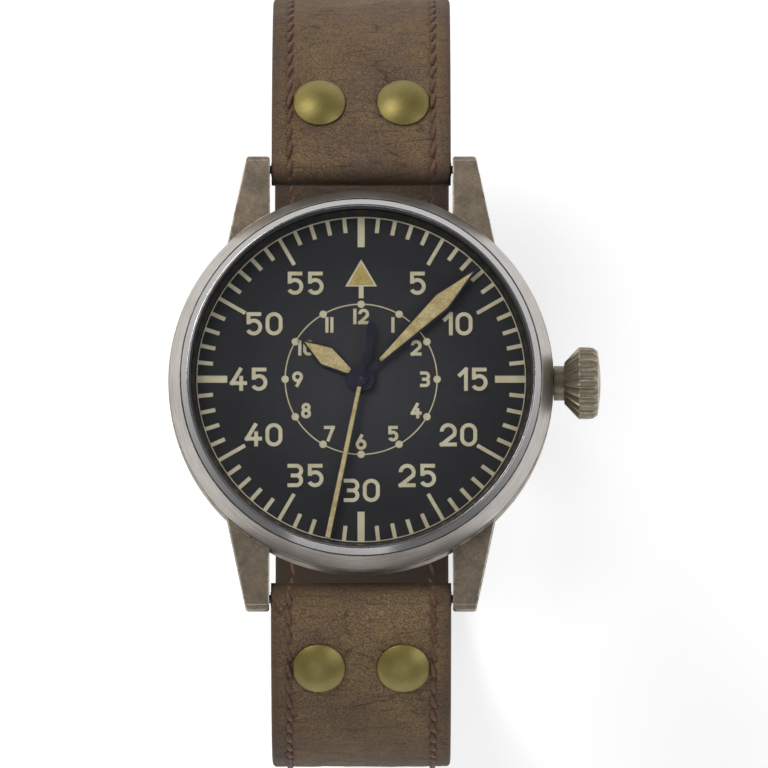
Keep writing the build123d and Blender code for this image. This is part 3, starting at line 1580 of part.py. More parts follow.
def path_plane(side, heading, runs, distance, aside=0, offset=0):
    """A plane on the strap: X across it, Z out of its outer face."""
    point = beside_path(side, heading, runs, distance, offset)
    turned = along_path(heading, runs, distance)[2]
    return Plane(
        origin=(aside, *point), x_dir=(1, 0, 0),
        z_dir=(0, side * sin(radians(turned)), cos(radians(turned))),
    )


def band(side, heading, runs, outer, inner):
    """The side view of a layer of leather between two offsets from the path."""
    with BuildSketch() as face:
        with BuildLine():
            for offset in (outer, inner):
                distance = 0
                for run in runs:
                    length = run_length(run)
                    points = [
                        beside_path(side, heading, runs, distance + share * length, offset)
                        for share in arc_shares
                    ]
                    if run[0] == "line":
                        Line(points[0], points[2])
                    else:
                        ThreePointArc(*points)
                    distance += length
            for at in (0, distance):
                Line(
                    beside_path(side, heading, runs, at, outer),
                    beside_path(side, heading, runs, at, inner),
                )
        make_face()
    return face.sketch


short_length = sum(run_length(run) for run in short_runs)
long_length = sum(run_length(run) for run in long_runs)
short_path = (1, short_heading, short_runs)
long_path = (-1, long_heading, long_runs)
bar_hole = bar_radius + bar_hole_gap
slot_half = 1.7
slot_reach = 4.5

rivet_distance = 7.1
rivet_spacing = 9.2
rivet_cap_radius = 2.9
rivet_cap_height = 1.0
rivet_skirt = 0.25
rivet_post_radius = 0.8
rivet_back_radius = 1.7
rivet_back_height = 0.4
rivet_gap = 0.12

hole_radius = 1.0
hole_pitch = 7.0
first_hole = 30.0           # from the tip
strap_holes = 7
tip_rounding = 7.5


def rivet_holes(path):
    for aside in (rivet_spacing / 2, -rivet_spacing / 2):
        with Locations(path_plane(*path, rivet_distance, aside)):
            Cylinder(rivet_post_radius + rivet_gap, strap_cut, mode=Mode.SUBTRACT)


def buckle_holes(path):
    for number in range(strap_holes):
        with Locations(path_plane(*path, long_length - first_hole - number * hole_pitch)):
            Cylinder(hole_radius, strap_cut, mode=Mode.SUBTRACT)


def corners_face():
    """What rounding takes off the two corners of the long half's tip."""
    inset = strap_width / 2 - tip_rounding
    with BuildSketch() as corners:
        Rectangle(strap_width, tip_rounding, align=(Align.CENTER, Align.MIN))
        with Locations((inset, tip_rounding), (-inset, tip_rounding)):
            Circle(tip_rounding, mode=Mode.SUBTRACT)
        Rectangle(
            2 * inset, tip_rounding, align=(Align.CENTER, Align.MIN), mode=Mode.SUBTRACT
        )
    return corners.sketch


def ring_end(path, distance, radius, mode=Mode.ADD):
    """A round bar across the strap, centred on its path."""
    with Locations(Plane.YZ * Location((*beside_path(*path, distance, 0), 0))):
        Cylinder(radius, strap_width if mode == Mode.ADD else strap_width + cut_over, mode=mode)


def tongue_slot(path, length):
    with Locations(path_plane(*path, length)):
        Box(2 * slot_half, 2 * slot_reach, strap_cut, mode=Mode.SUBTRACT)


with BuildPart() as short_strap:
    with BuildSketch(Plane.YZ):
        add(band(*short_path, top_offset, seam_offset))
    extrude(amount=strap_width / 2, both=True)
    for at in (0, short_length):
        ring_end(short_path, at, strap_end_radius)
    for at in (0, short_length):
        ring_end(short_path, at, bar_hole, Mode.SUBTRACT)
    tongue_slot(short_path, short_length)
    rivet_holes(short_path)

with BuildPart() as short_strap_lining:
    with BuildSketch(Plane.YZ):
        add(band(*short_path, seam_offset - glue, under_offset))
    extrude(amount=strap_width / 2, both=True)
    for at in (0, short_length):
        ring_end(short_path, at, strap_end_radius + glue, Mode.SUBTRACT)
    tongue_slot(short_path, short_length)
    rivet_holes(short_path)

with BuildPart() as long_strap:
    with BuildSketch(Plane.YZ):
        add(band(*long_path, top_offset, seam_offset))
    extrude(amount=strap_width / 2, both=True)
    ring_end(long_path, 0, strap_end_radius)
    ring_end(long_path, 0, bar_hole, Mode.SUBTRACT)
    rivet_holes(long_path)
    buckle_holes(long_path)
    with BuildSketch(path_plane(*long_path, long_length)):
        add(corners_face())
    extrude(amount=strap_cut / 2, both=True, mode=Mode.SUBTRACT)

with BuildPart() as long_strap_lining:
    with BuildSketch(Plane.YZ):
        add(band(*long_path, seam_offset - glue, under_offset))
    extrude(amount=strap_width / 2, both=True)
    ring_end(long_path, 0, strap_end_radius + glue, Mode.SUBTRACT)
    rivet_holes(long_path)
    buckle_holes(long_path)
    with BuildSketch(path_plane(*long_path, long_length)):
        add(corners_face())
    extrude(amount=strap_cut / 2, both=True, mode=Mode.SUBTRACT)


def rivet_pair(path):
    """Two rivets: a domed cap that follows the leather, a post and a flat back."""
    side, heading, runs = path
    with BuildPart() as pair:
        for aside in (rivet_spacing / 2, -rivet_spacing / 2):
            top = path_plane(*path, rivet_distance, aside, top_offset - rivet_skirt)
            dome_radius = (rivet_cap_radius**2 + rivet_cap_height**2) / (2 * rivet_cap_height)
            with BuildSketch(mode=Mode.PRIVATE) as cap_section:
                with BuildLine():
                    Polyline(
                        (0, rivet_skirt + rivet_cap_height), (0, 0), (rivet_cap_radius, 0),
                        (rivet_cap_radius, rivet_skirt),
                    )
                    RadiusArc(
                        (rivet_cap_radius, rivet_skirt), (0, rivet_skirt + rivet_cap_height),
                        -dome_radius,
                    )
                make_face()
            with BuildSketch(Plane(origin=top.origin, x_dir=top.x_dir, z_dir=-top.y_dir)):
                add(cap_section.sketch)
            revolve(axis=Axis(top.origin, top.z_dir))
        leather_at = beside_path(side, heading, runs, 0, -runs[0][1])
        with Locations(Plane.YZ * Location((*leather_at, 0))):
            Cylinder(runs[0][1] + top_offset + seat_gap, strap_width, mode=Mode.SUBTRACT)
        for aside in (rivet_spacing / 2, -rivet_spacing / 2):
            middle = path_plane(*path, rivet_distance, aside, under_offset - rivet_gap)
            with Locations(middle):
                Cylinder(
                    rivet_post_radius, top_offset - under_offset + rivet_skirt, align=base
                )
                Cylinder(
                    rivet_back_radius, rivet_back_height, align=(Align.CENTER, Align.CENTER, Align.MAX)
                )
    return pair.part


with BuildPart() as short_strap_rivets:
    add(rivet_pair(short_path))

with BuildPart() as long_strap_rivets:
    add(rivet_pair(long_path))

# Buckle, in the plane of the short half's end: X across, Y onwards, Z out of the strap
buckle_side_gap = 0.3
buckle_arm_width = 1.9
buckle_reach = 11.6
buckle_front_width = 2.4
buckle_eye = 1.5
buckle_half_thickness = 1.15
bar_end_inset = 0.5
tongue_half = 1.2
tongue_eye_radius = 1.5
tongue_thickness = 1.0
tongue_tip_thickness = 0.8
tongue_overhang = 0.4
tongue_rest_gap = 0.05
buckle_plane = path_plane(*short_path, short_length)
tongue_plane = Plane(origin=buckle_plane.origin, x_dir=buckle_plane.y_dir, z_dir=buckle_plane.x_dir)
buckle_inner_half = strap_width / 2 + buckle_side_gap
buckle_outer_half = buckle_inner_half + buckle_arm_width

with BuildPart() as buckle_frame:
    with BuildSketch(buckle_plane) as frame_plan:
        with Locations((0, -buckle_eye)):
            Rectangle(
                2 * buckle_outer_half, buckle_reach + buckle_eye, align=(Align.CENTER, Align.MIN)
            )
        fillet(frame_plan.vertices(), buckle_eye)
        with Locations((0, -buckle_eye)):
            Rectangle(
                2 * buckle_inner_half, buckle_reach + buckle_eye - buckle_front_width,
                align=(Align.CENTER, Align.MIN), mode=Mode.SUBTRACT,
            )
    extrude(amount=buckle_half_thickness, both=True)
    with Locations(Plane(tongue_plane.origin, x_dir=tongue_plane.x_dir, z_dir=tongue_plane.z_dir)):
        Cylinder(bar_radius + seat_gap, 2 * buckle_outer_half + cut_over, mode=Mode.SUBTRACT)

with BuildPart() as buckle_bar:
    with Locations(tongue_plane):
        Cylinder(bar_radius, 2 * (buckle_outer_half - bar_end_inset))

with BuildPart() as buckle_tongue:
    tongue_low = buckle_half_thickness + tongue_rest_gap
    tongue_end = buckle_reach + tongue_overhang
    front_start = buckle_reach - buckle_front_width
    with BuildSketch(tongue_plane) as tongue_side:
        Circle(tongue_eye_radius)
        with BuildLine():
            Polyline(
                (0, tongue_eye_radius), (front_start, tongue_low + tongue_thickness),
                (tongue_end, tongue_low + tongue_tip_thickness), (tongue_end, tongue_low),
                (front_start, tongue_low), (tongue_eye_radius / 2, 0), (0, 0), close=True,
            )
        make_face()
        Circle(bar_radius + running_gap, mode=Mode.SUBTRACT)
    extrude(amount=tongue_half, both=True)

# Keepers
keeper_length = 5.0
keeper_thickness = 1.1
keeper_edge = 0.36
keeper_side_gap = 0.3
keeper_under_gap = 0.12
keeper_room = 2.9           # over the strap, for the other half's tip
fixed_keeper_at = 8.0       # from the buckle's bar
free_keeper_gap = 0.7


def keeper_loop(distance):
    """A leather loop round the strap, with room on its outer side for the long half."""
    middle = path_plane(*short_path, distance)
    inner_half = strap_width / 2 + keeper_side_gap
    low = under_offset - keeper_under_gap
    high = top_offset + keeper_room
    with BuildPart() as loop:
        with Locations(middle * Location((0, 0, (low + high) / 2))):
            Box(
                2 * (inner_half + keeper_thickness), keeper_length,
                high - low + 2 * keeper_thickness,
            )
            Box(2 * inner_half, keeper_length, high - low, mode=Mode.SUBTRACT)
        fillet(loop.edges().filter_by(Axis.Y).group_by(SortBy.LENGTH)[-1], keeper_edge)
    return loop.part


with BuildPart() as fixed_keeper:
    add(keeper_loop(short_length - fixed_keeper_at))

with BuildPart() as free_keeper:
    add(keeper_loop(short_length - fixed_keeper_at - keeper_length - free_keeper_gap))

pieces = {
    "case_middle": case_middle, "bezel": bezel, "crystal": crystal,
    "crystal_gasket": crystal_gasket, "rehaut_ring": rehaut_ring, "case_back": case_back,
    "case_back_gasket": case_back_gasket, "crown_tube": crown_tube, "spring_bars": spring_bars,
    "dial": dial, "dial_tracks": dial_tracks, "dial_numerals": dial_numerals,
    "triangle_marker": triangle_marker, "movement_ring": movement_ring, "mainplate": mainplate,
    "barrel_bridge": barrel_bridge, "train_bridge": train_bridge, "balance_cock": balance_cock,
    "pallet_bridge": pallet_bridge, "jewels": jewels, "bridge_screws": bridge_screws,
    "casing_clamps": casing_clamps, "clamp_screws": clamp_screws, "hairspring": hairspring,
    "rotor_bearing": rotor_bearing, "crown": crown, "crown_gasket": crown_gasket,
    "winding_stem": winding_stem, "winding_pinion": winding_pinion,
    "sliding_clutch": sliding_clutch, "crown_wheel": crown_wheel, "ratchet_wheel": ratchet_wheel,
    "barrel_arbor": barrel_arbor, "click": click, "oscillating_weight": oscillating_weight,
    "mainspring_barrel": mainspring_barrel, "mainspring": mainspring,
    "center_wheel": center_wheel, "cannon_pinion": cannon_pinion, "minute_hand": minute_hand,
    "third_wheel": third_wheel, "fourth_wheel": fourth_wheel, "seconds_hand": seconds_hand,
    "hour_wheel": hour_wheel, "hour_hand": hour_hand, "minute_wheel": minute_wheel,
    "escape_wheel": escape_wheel, "pallet_fork": pallet_fork, "balance_wheel": balance_wheel,
    "short_strap": short_strap, "short_strap_lining": short_strap_lining,
    "short_strap_rivets": short_strap_rivets, "long_strap": long_strap,
    "long_strap_lining": long_strap_lining, "long_strap_rivets": long_strap_rivets,
    "buckle_frame": buckle_frame, "buckle_tongue": buckle_tongue, "buckle_bar": buckle_bar,
    "fixed_keeper": fixed_keeper, "free_keeper": free_keeper,
}

os.makedirs("parts", exist_ok=True)
for name, piece in pieces.items():
    piece.part.label = name
    export_step(piece.part, f"parts/{name}.step")
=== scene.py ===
from math import cos, exp, floor, hypot, pi, radians, sin, sqrt
from random import Random

import bmesh
import bpy
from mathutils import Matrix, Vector, noise


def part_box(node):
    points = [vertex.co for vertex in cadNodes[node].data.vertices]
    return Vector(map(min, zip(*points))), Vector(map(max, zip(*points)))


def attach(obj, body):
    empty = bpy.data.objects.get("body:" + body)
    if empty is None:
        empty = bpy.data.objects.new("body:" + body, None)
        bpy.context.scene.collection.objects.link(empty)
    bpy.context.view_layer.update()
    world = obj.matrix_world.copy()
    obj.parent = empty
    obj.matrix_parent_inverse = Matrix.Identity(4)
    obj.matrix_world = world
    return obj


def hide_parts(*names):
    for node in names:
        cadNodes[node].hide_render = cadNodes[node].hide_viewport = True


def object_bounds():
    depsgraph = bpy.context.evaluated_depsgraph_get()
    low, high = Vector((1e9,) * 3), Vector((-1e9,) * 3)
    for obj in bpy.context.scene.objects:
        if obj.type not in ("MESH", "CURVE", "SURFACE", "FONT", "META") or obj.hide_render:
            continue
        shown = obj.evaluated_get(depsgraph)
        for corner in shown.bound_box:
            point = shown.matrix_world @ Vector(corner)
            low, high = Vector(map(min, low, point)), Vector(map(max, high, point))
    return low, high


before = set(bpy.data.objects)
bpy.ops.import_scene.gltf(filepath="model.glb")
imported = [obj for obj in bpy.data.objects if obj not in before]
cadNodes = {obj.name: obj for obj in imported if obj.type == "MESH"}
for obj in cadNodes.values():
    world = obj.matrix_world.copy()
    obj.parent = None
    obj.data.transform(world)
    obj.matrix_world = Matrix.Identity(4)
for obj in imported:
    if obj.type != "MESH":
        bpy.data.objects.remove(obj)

# Pilot's watch. Dictionaries hold millimetres and degrees; meshes are written in metres.
# Colours are written as 0 to 255, the way a picture shows them.
mm = 0.001
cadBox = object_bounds()
print("frame: ", len(cadNodes), "CAD nodes")


def colour(red, green, blue):
    def linear(value):
        value /= 255
        return value / 12.92 if value <= 0.04045 else ((value + 0.055) / 1.055) ** 2.4
    return (linear(red), linear(green), linear(blue), 1.0)


# Node helpers: a value may be a number, a colour or another node's socket
def addNode(tree, kind, inputs=None, **settings):
    made = tree.nodes.new(kind)
    for name, value in settings.items():
        setattr(made, name, value)
    for key, value in (inputs or {}).items():
        if isinstance(value, bpy.types.NodeSocket):
            tree.links.new(value, made.inputs[key])
        else:
            made.inputs[key].default_value = value
    return made


def calc(tree, operation, *values):
    made = addNode(tree, "ShaderNodeMath", dict(enumerate(values)), operation=operation)
    return made.outputs[0]


def mixColour(tree, share, first, second, blend="MIX"):
    made = addNode(
        tree, "ShaderNodeMix", {0: share, 6: first, 7: second}, data_type="RGBA", blend_type=blend
    )
    return made.outputs[2]


def spread(tree, value, low, high, outLow=0.0, outHigh=1.0):
    made = addNode(
        tree, "ShaderNodeMapRange", {0: value, 1: low, 2: high, 3: outLow, 4: outHigh}
    )
    return made.outputs[0]


def objectPlace(tree):
    return addNode(tree, "ShaderNodeTexCoord").outputs["Object"]


def scaled(tree, place, factors):
    made = addNode(tree, "ShaderNodeVectorMath", {0: place, 1: factors}, operation="MULTIPLY")
    return made.outputs[0]


def grain(tree, place, size, detail=3.0, rough=0.55, bend=0.0):
    # Noise whose features are about size millimetres wide
    made = addNode(
        tree, "ShaderNodeTexNoise",
        {"Vector": place, "Scale": calc(tree, "DIVIDE", 1 / mm, size), "Detail": detail,
         "Roughness": rough, "Distortion": bend},
    )
    return made.outputs[0]


def bumped(tree, height, depth, normal=None):
    made = addNode(tree, "ShaderNodeBump", {"Height": height, "Distance": depth * mm, "Strength": 1.0})
    if normal is not None:
        tree.links.new(normal, made.inputs["Normal"])
    return made.outputs[0]


def apart(tree, place):
    return addNode(tree, "ShaderNodeSeparateXYZ", {0: place}).outputs


def axisRadius(tree, axes):
    # Distance from the dial's axis
    squares = [calc(tree, "MULTIPLY", axes[number], axes[number]) for number in (0, 1)]
    return calc(tree, "SQRT", calc(tree, "ADD", *squares))


def tinted(tree, paint, mask, weight, tint):
    # Paint mixed with a tint by the mask, at most by the weight
    return mixColour(tree, calc(tree, "MULTIPLY", mask, weight), paint, tint)


# Shared effects, each a node group that puts out masks and normals
groups = {}


def newGroup(name, inputs, outputs):
    tree = bpy.data.node_groups.new(name, "ShaderNodeTree")
    for label, value in inputs.items():
        kind = "NodeSocketVector" if isinstance(value, tuple) else "NodeSocketFloat"
        tree.interface.new_socket(label, in_out="INPUT", socket_type=kind).default_value = value
    for label, kind in outputs.items():
        tree.interface.new_socket(label, in_out="OUTPUT", socket_type="NodeSocket" + kind)
    groups[name] = tree
    return tree, addNode(tree, "NodeGroupInput").outputs, addNode(tree, "NodeGroupOutput").inputs


def useGroup(tree, name, **values):
    named = {label.replace("_", " "): value for label, value in values.items()}
    return addNode(tree, "ShaderNodeGroup", named, node_tree=groups[name]).outputs


fleckShare = 0.13       # a fleck's size beside a patch's


def makePatches():
    # Soft-edged stains and small flecks
    tree, given, out = newGroup(
        "patches", {"Size": 3.0, "Softness": 0.1}, {"Patches": "Float", "Flecks": "Float"}
    )
    place = objectPlace(tree)
    wide = grain(tree, place, given["Size"], detail=5.0, rough=0.6, bend=0.4)
    low = calc(tree, "SUBTRACT", 0.5, given["Softness"])
    high = calc(tree, "ADD", 0.5, given["Softness"])
    tree.links.new(spread(tree, wide, low, high), out["Patches"])
    fine = grain(tree, place, calc(tree, "MULTIPLY", given["Size"], fleckShare), detail=2.0, rough=0.5)
    tree.links.new(spread(tree, fine, low=0.55, high=0.7), out["Flecks"])


ringLineReach = 0.02    # how slowly a line changes along its way round


def makeRingLines():
    # Fine lines that run round the dial's axis, as a lathe or a turned brush leaves them
    tree, given, out = newGroup("ring lines", {"Size": 0.05, "Length": 5.0}, {"Lines": "Float"})
    axes = apart(tree, objectPlace(tree))
    radius = axisRadius(tree, axes)
    across = calc(tree, "DIVIDE", 1 / mm, given["Size"])
    along = calc(tree, "DIVIDE", 1 / mm, given["Length"])
    reach = calc(tree, "MULTIPLY", along, ringLineReach)
    place = addNode(tree, "ShaderNodeCombineXYZ", {
        0: calc(tree, "MULTIPLY", radius, across),
        1: calc(tree, "MULTIPLY", calc(tree, "DIVIDE", axes[0], radius), reach),
        2: calc(tree, "MULTIPLY", calc(tree, "DIVIDE", axes[1], radius), reach),
    }).outputs[0]
    lines = addNode(
        tree, "ShaderNodeTexNoise",
        {"Vector": place, "W": calc(tree, "MULTIPLY", axes[2], across), "Scale": 1.0, "Detail": 2.0},
        noise_dimensions="4D",
    ).outputs[0]
    tree.links.new(spread(tree, lines, low=0.3, high=0.7), out["Lines"])


def makeStraightLines():
    # Fine straight brushing; Stretch shortens the axis that the lines run along
    tree, given, out = newGroup(
        "straight lines", {"Size": 0.06, "Stretch": (1.0, 1.0, 0.02)}, {"Lines": "Float"}
    )
    place = scaled(tree, objectPlace(tree), given["Stretch"])
    lines = grain(tree, place, given["Size"], detail=2.0)
    tree.links.new(spread(tree, lines, low=0.3, high=0.7), out["Lines"])


wearFade = 0.12         # how softly the worn metal ends


def makeEdgeWear():
    # Rounded edges, and a broken mask of the metal rubbed bare along them
    tree, given, out = newGroup(
        "edge wear", {"Width": 0.15, "Breakup": 1.0, "Cover": 0.5},
        {"Wear": "Float", "Edge": "Float", "Normal": "Vector"},
    )
    rounded = addNode(
        tree, "ShaderNodeBevel", {"Radius": calc(tree, "MULTIPLY", given["Width"], mm)}, samples=6
    ).outputs[0]
    surface = addNode(tree, "ShaderNodeNewGeometry").outputs["Normal"]
    same = addNode(
        tree, "ShaderNodeVectorMath", {0: rounded, 1: surface}, operation="DOT_PRODUCT"
    ).outputs["Value"]
    edge = spread(tree, calc(tree, "SUBTRACT", 1.0, same), low=0.01, high=0.1)
    broken = grain(tree, objectPlace(tree), given["Breakup"], detail=4.0, rough=0.65)
    low = calc(tree, "SUBTRACT", 1.0, given["Cover"])
    wear = calc(tree, "MULTIPLY", edge, spread(tree, broken, low, calc(tree, "ADD", low, wearFade)))
    tree.links.new(wear, out["Wear"])
    tree.links.new(edge, out["Edge"])
    tree.links.new(rounded, out["Normal"])


def makeRecessGrimeAndShade():
    # Dirt and painted shade where a surface is close to another
    tree, given, out = newGroup("recess grime", {"Reach": 0.8, "Amount": 0.8}, {"Grime": "Float"})
    reach = calc(tree, "MULTIPLY", given["Reach"], mm)
    clear = addNode(
        tree, "ShaderNodeAmbientOcclusion", {"Distance": reach}, samples=6
    ).outputs["AO"]
    closed = spread(tree, calc(tree, "SUBTRACT", 1.0, clear), low=0.25, high=0.85)
    clouds = grain(tree, objectPlace(tree), size=0.9, detail=3.0)
    uneven = spread(tree, clouds, low=0.2, high=0.6, outLow=0.45, outHigh=1.0)
    grime = calc(tree, "MULTIPLY", calc(tree, "MULTIPLY", closed, uneven), given["Amount"])
    tree.links.new(grime, out["Grime"])


hairlineShape = {
    "turns": ((20, 0.0), (75, 3.1), (-40, 7.3)),        # degrees, and millimetres along
    "stretch": (0.03, 1.0, 0.4), "most": 0.85, "full": 0.9,
}


def makeHairlines():
    # Thin scratches in a few directions
    tree, given, out = newGroup("hairlines", {"Size": 0.05, "Cover": 0.3}, {"Scratches": "Float"})
    place = objectPlace(tree)
    total = None
    for turn, shift in hairlineShape["turns"]:
        turned = addNode(
            tree, "ShaderNodeVectorRotate", {"Vector": place, "Angle": radians(turn)}, rotation_type="Z_AXIS"
        ).outputs[0]
        stretched = scaled(tree, turned, hairlineShape["stretch"])
        moved = addNode(
            tree, "ShaderNodeVectorMath", {0: stretched, 1: (shift * mm, 0.0, 0.0)}, operation="ADD"
        ).outputs[0]
        start = calc(tree, "SUBTRACT", hairlineShape["most"], given["Cover"])
        line = spread(tree, grain(tree, moved, given["Size"], 0.0), start, hairlineShape["full"])
        total = line if total is None else calc(tree, "MAXIMUM", total, line)
    tree.links.new(total, out["Scratches"])


leatherSkin = {
    "drift": 1.2, "fibreStretch": (0.66, 1.0, 1.0), "foldStretch": (0.2, 1.0, 1.0), "foldSize": 1.7,
    "cellShare": 1.6, "poreShare": 0.45, "speckShare": 0.7,
    "fibreHeight": 0.6, "cellHeight": 0.35, "poreDepth": 0.25, "creaseDepth": 0.7,
}


def makeLeatherGrain():
    # Fine fibres, pores, light specks and creases across the strap
    tree, given, out = newGroup(
        "leather grain", {"Size": 0.35, "Crease": 1.0},
        {"Height": "Float", "Fibres": "Float", "Pores": "Float", "Creases": "Float", "Specks": "Float"},
    )
    place = objectPlace(tree)
    bent = grain(tree, place, size=2.2, detail=3.0)
    moved = calc(tree, "MULTIPLY", bent, leatherSkin["drift"] * mm)
    shift = addNode(tree, "ShaderNodeCombineXYZ", {1: moved, 2: moved}).outputs[0]
    warped = addNode(
        tree, "ShaderNodeVectorMath", {0: place, 1: shift}, operation="ADD"
    ).outputs[0]
    across = scaled(tree, warped, leatherSkin["fibreStretch"])
    fibres = grain(tree, across, given["Size"], detail=4.0, rough=0.62, bend=0.3)
    cellSize = calc(tree, "MULTIPLY", given["Size"], leatherSkin["cellShare"])
    cells = addNode(
        tree, "ShaderNodeTexVoronoi",
        {"Vector": across, "Scale": calc(tree, "DIVIDE", 1 / mm, cellSize)},
        feature="DISTANCE_TO_EDGE",
    ).outputs["Distance"]
    poreSize = calc(tree, "MULTIPLY", given["Size"], leatherSkin["poreShare"])
    pores = spread(tree, grain(tree, warped, poreSize, 1.0), low=0.58, high=0.7)
    folds = addNode(
        tree, "ShaderNodeTexVoronoi",
        {"Vector": scaled(tree, warped, leatherSkin["foldStretch"]),
         "Scale": 1 / (leatherSkin["foldSize"] * mm), "Randomness": 1.0},
        feature="DISTANCE_TO_EDGE",
    ).outputs["Distance"]
    valley = spread(tree, folds, low=0.0, high=0.05, outLow=1.0, outHigh=0.0)
    creases = calc(tree, "MULTIPLY", valley, spread(tree, bent, low=0.42, high=0.62))
    bumps = calc(tree, "MULTIPLY", spread(tree, cells, low=0.0, high=0.25), leatherSkin["cellHeight"])
    height = calc(tree, "ADD", calc(tree, "MULTIPLY", fibres, leatherSkin["fibreHeight"]), bumps)
    height = calc(tree, "SUBTRACT", height, calc(tree, "MULTIPLY", pores, leatherSkin["poreDepth"]))
    creaseDepth = calc(tree, "MULTIPLY", given["Crease"], leatherSkin["creaseDepth"])
    cut = calc(tree, "MULTIPLY", creases, creaseDepth)
    height = calc(tree, "SUBTRACT", height, cut)
    tree.links.new(height, out["Height"])
    tree.links.new(spread(tree, fibres, low=0.36, high=0.64), out["Fibres"])
    speckSize = calc(tree, "MULTIPLY", given["Size"], leatherSkin["speckShare"])
    specks = grain(tree, place, speckSize, detail=2.0, rough=0.7)
    tree.links.new(spread(tree, specks, low=0.58, high=0.68), out["Specks"])
    tree.links.new(pores, out["Pores"])
    tree.links.new(creases, out["Creases"])


def makeLumeGrain():
    # The speckled, slightly grainy surface of aged luminous paint
    tree, given, out = newGroup("lume grain", {"Size": 0.16}, {"Speckle": "Float", "Stain": "Float"})
    place = objectPlace(tree)
    speckle = grain(tree, place, given["Size"], detail=2.0, rough=0.7)
    tree.links.new(spread(tree, speckle, low=0.35, high=0.65), out["Speckle"])
    tree.links.new(spread(tree, grain(tree, place, size=1.3, detail=3.0), low=0.4, high=0.7), out["Stain"])


for makeGroup in (
    makePatches, makeRingLines, makeStraightLines, makeEdgeWear, makeRecessGrimeAndShade, makeHairlines,
    makeLeatherGrain, makeLumeGrain,
):
    makeGroup()
print("node groups: ", len(groups))


def newMaterial(name):
    made = bpy.data.materials.new(name)
    made.use_nodes = True
    return made, made.node_tree, made.node_tree.nodes["Principled BSDF"]


def feed(tree, shader, **values):
    # Sets or links the shader's sockets; underscores stand for spaces
    for label, value in values.items():
        socket = shader.inputs[label.replace("_", " ")]
        if isinstance(value, bpy.types.NodeSocket):
            tree.links.new(value, socket)
        else:
            socket.default_value = value
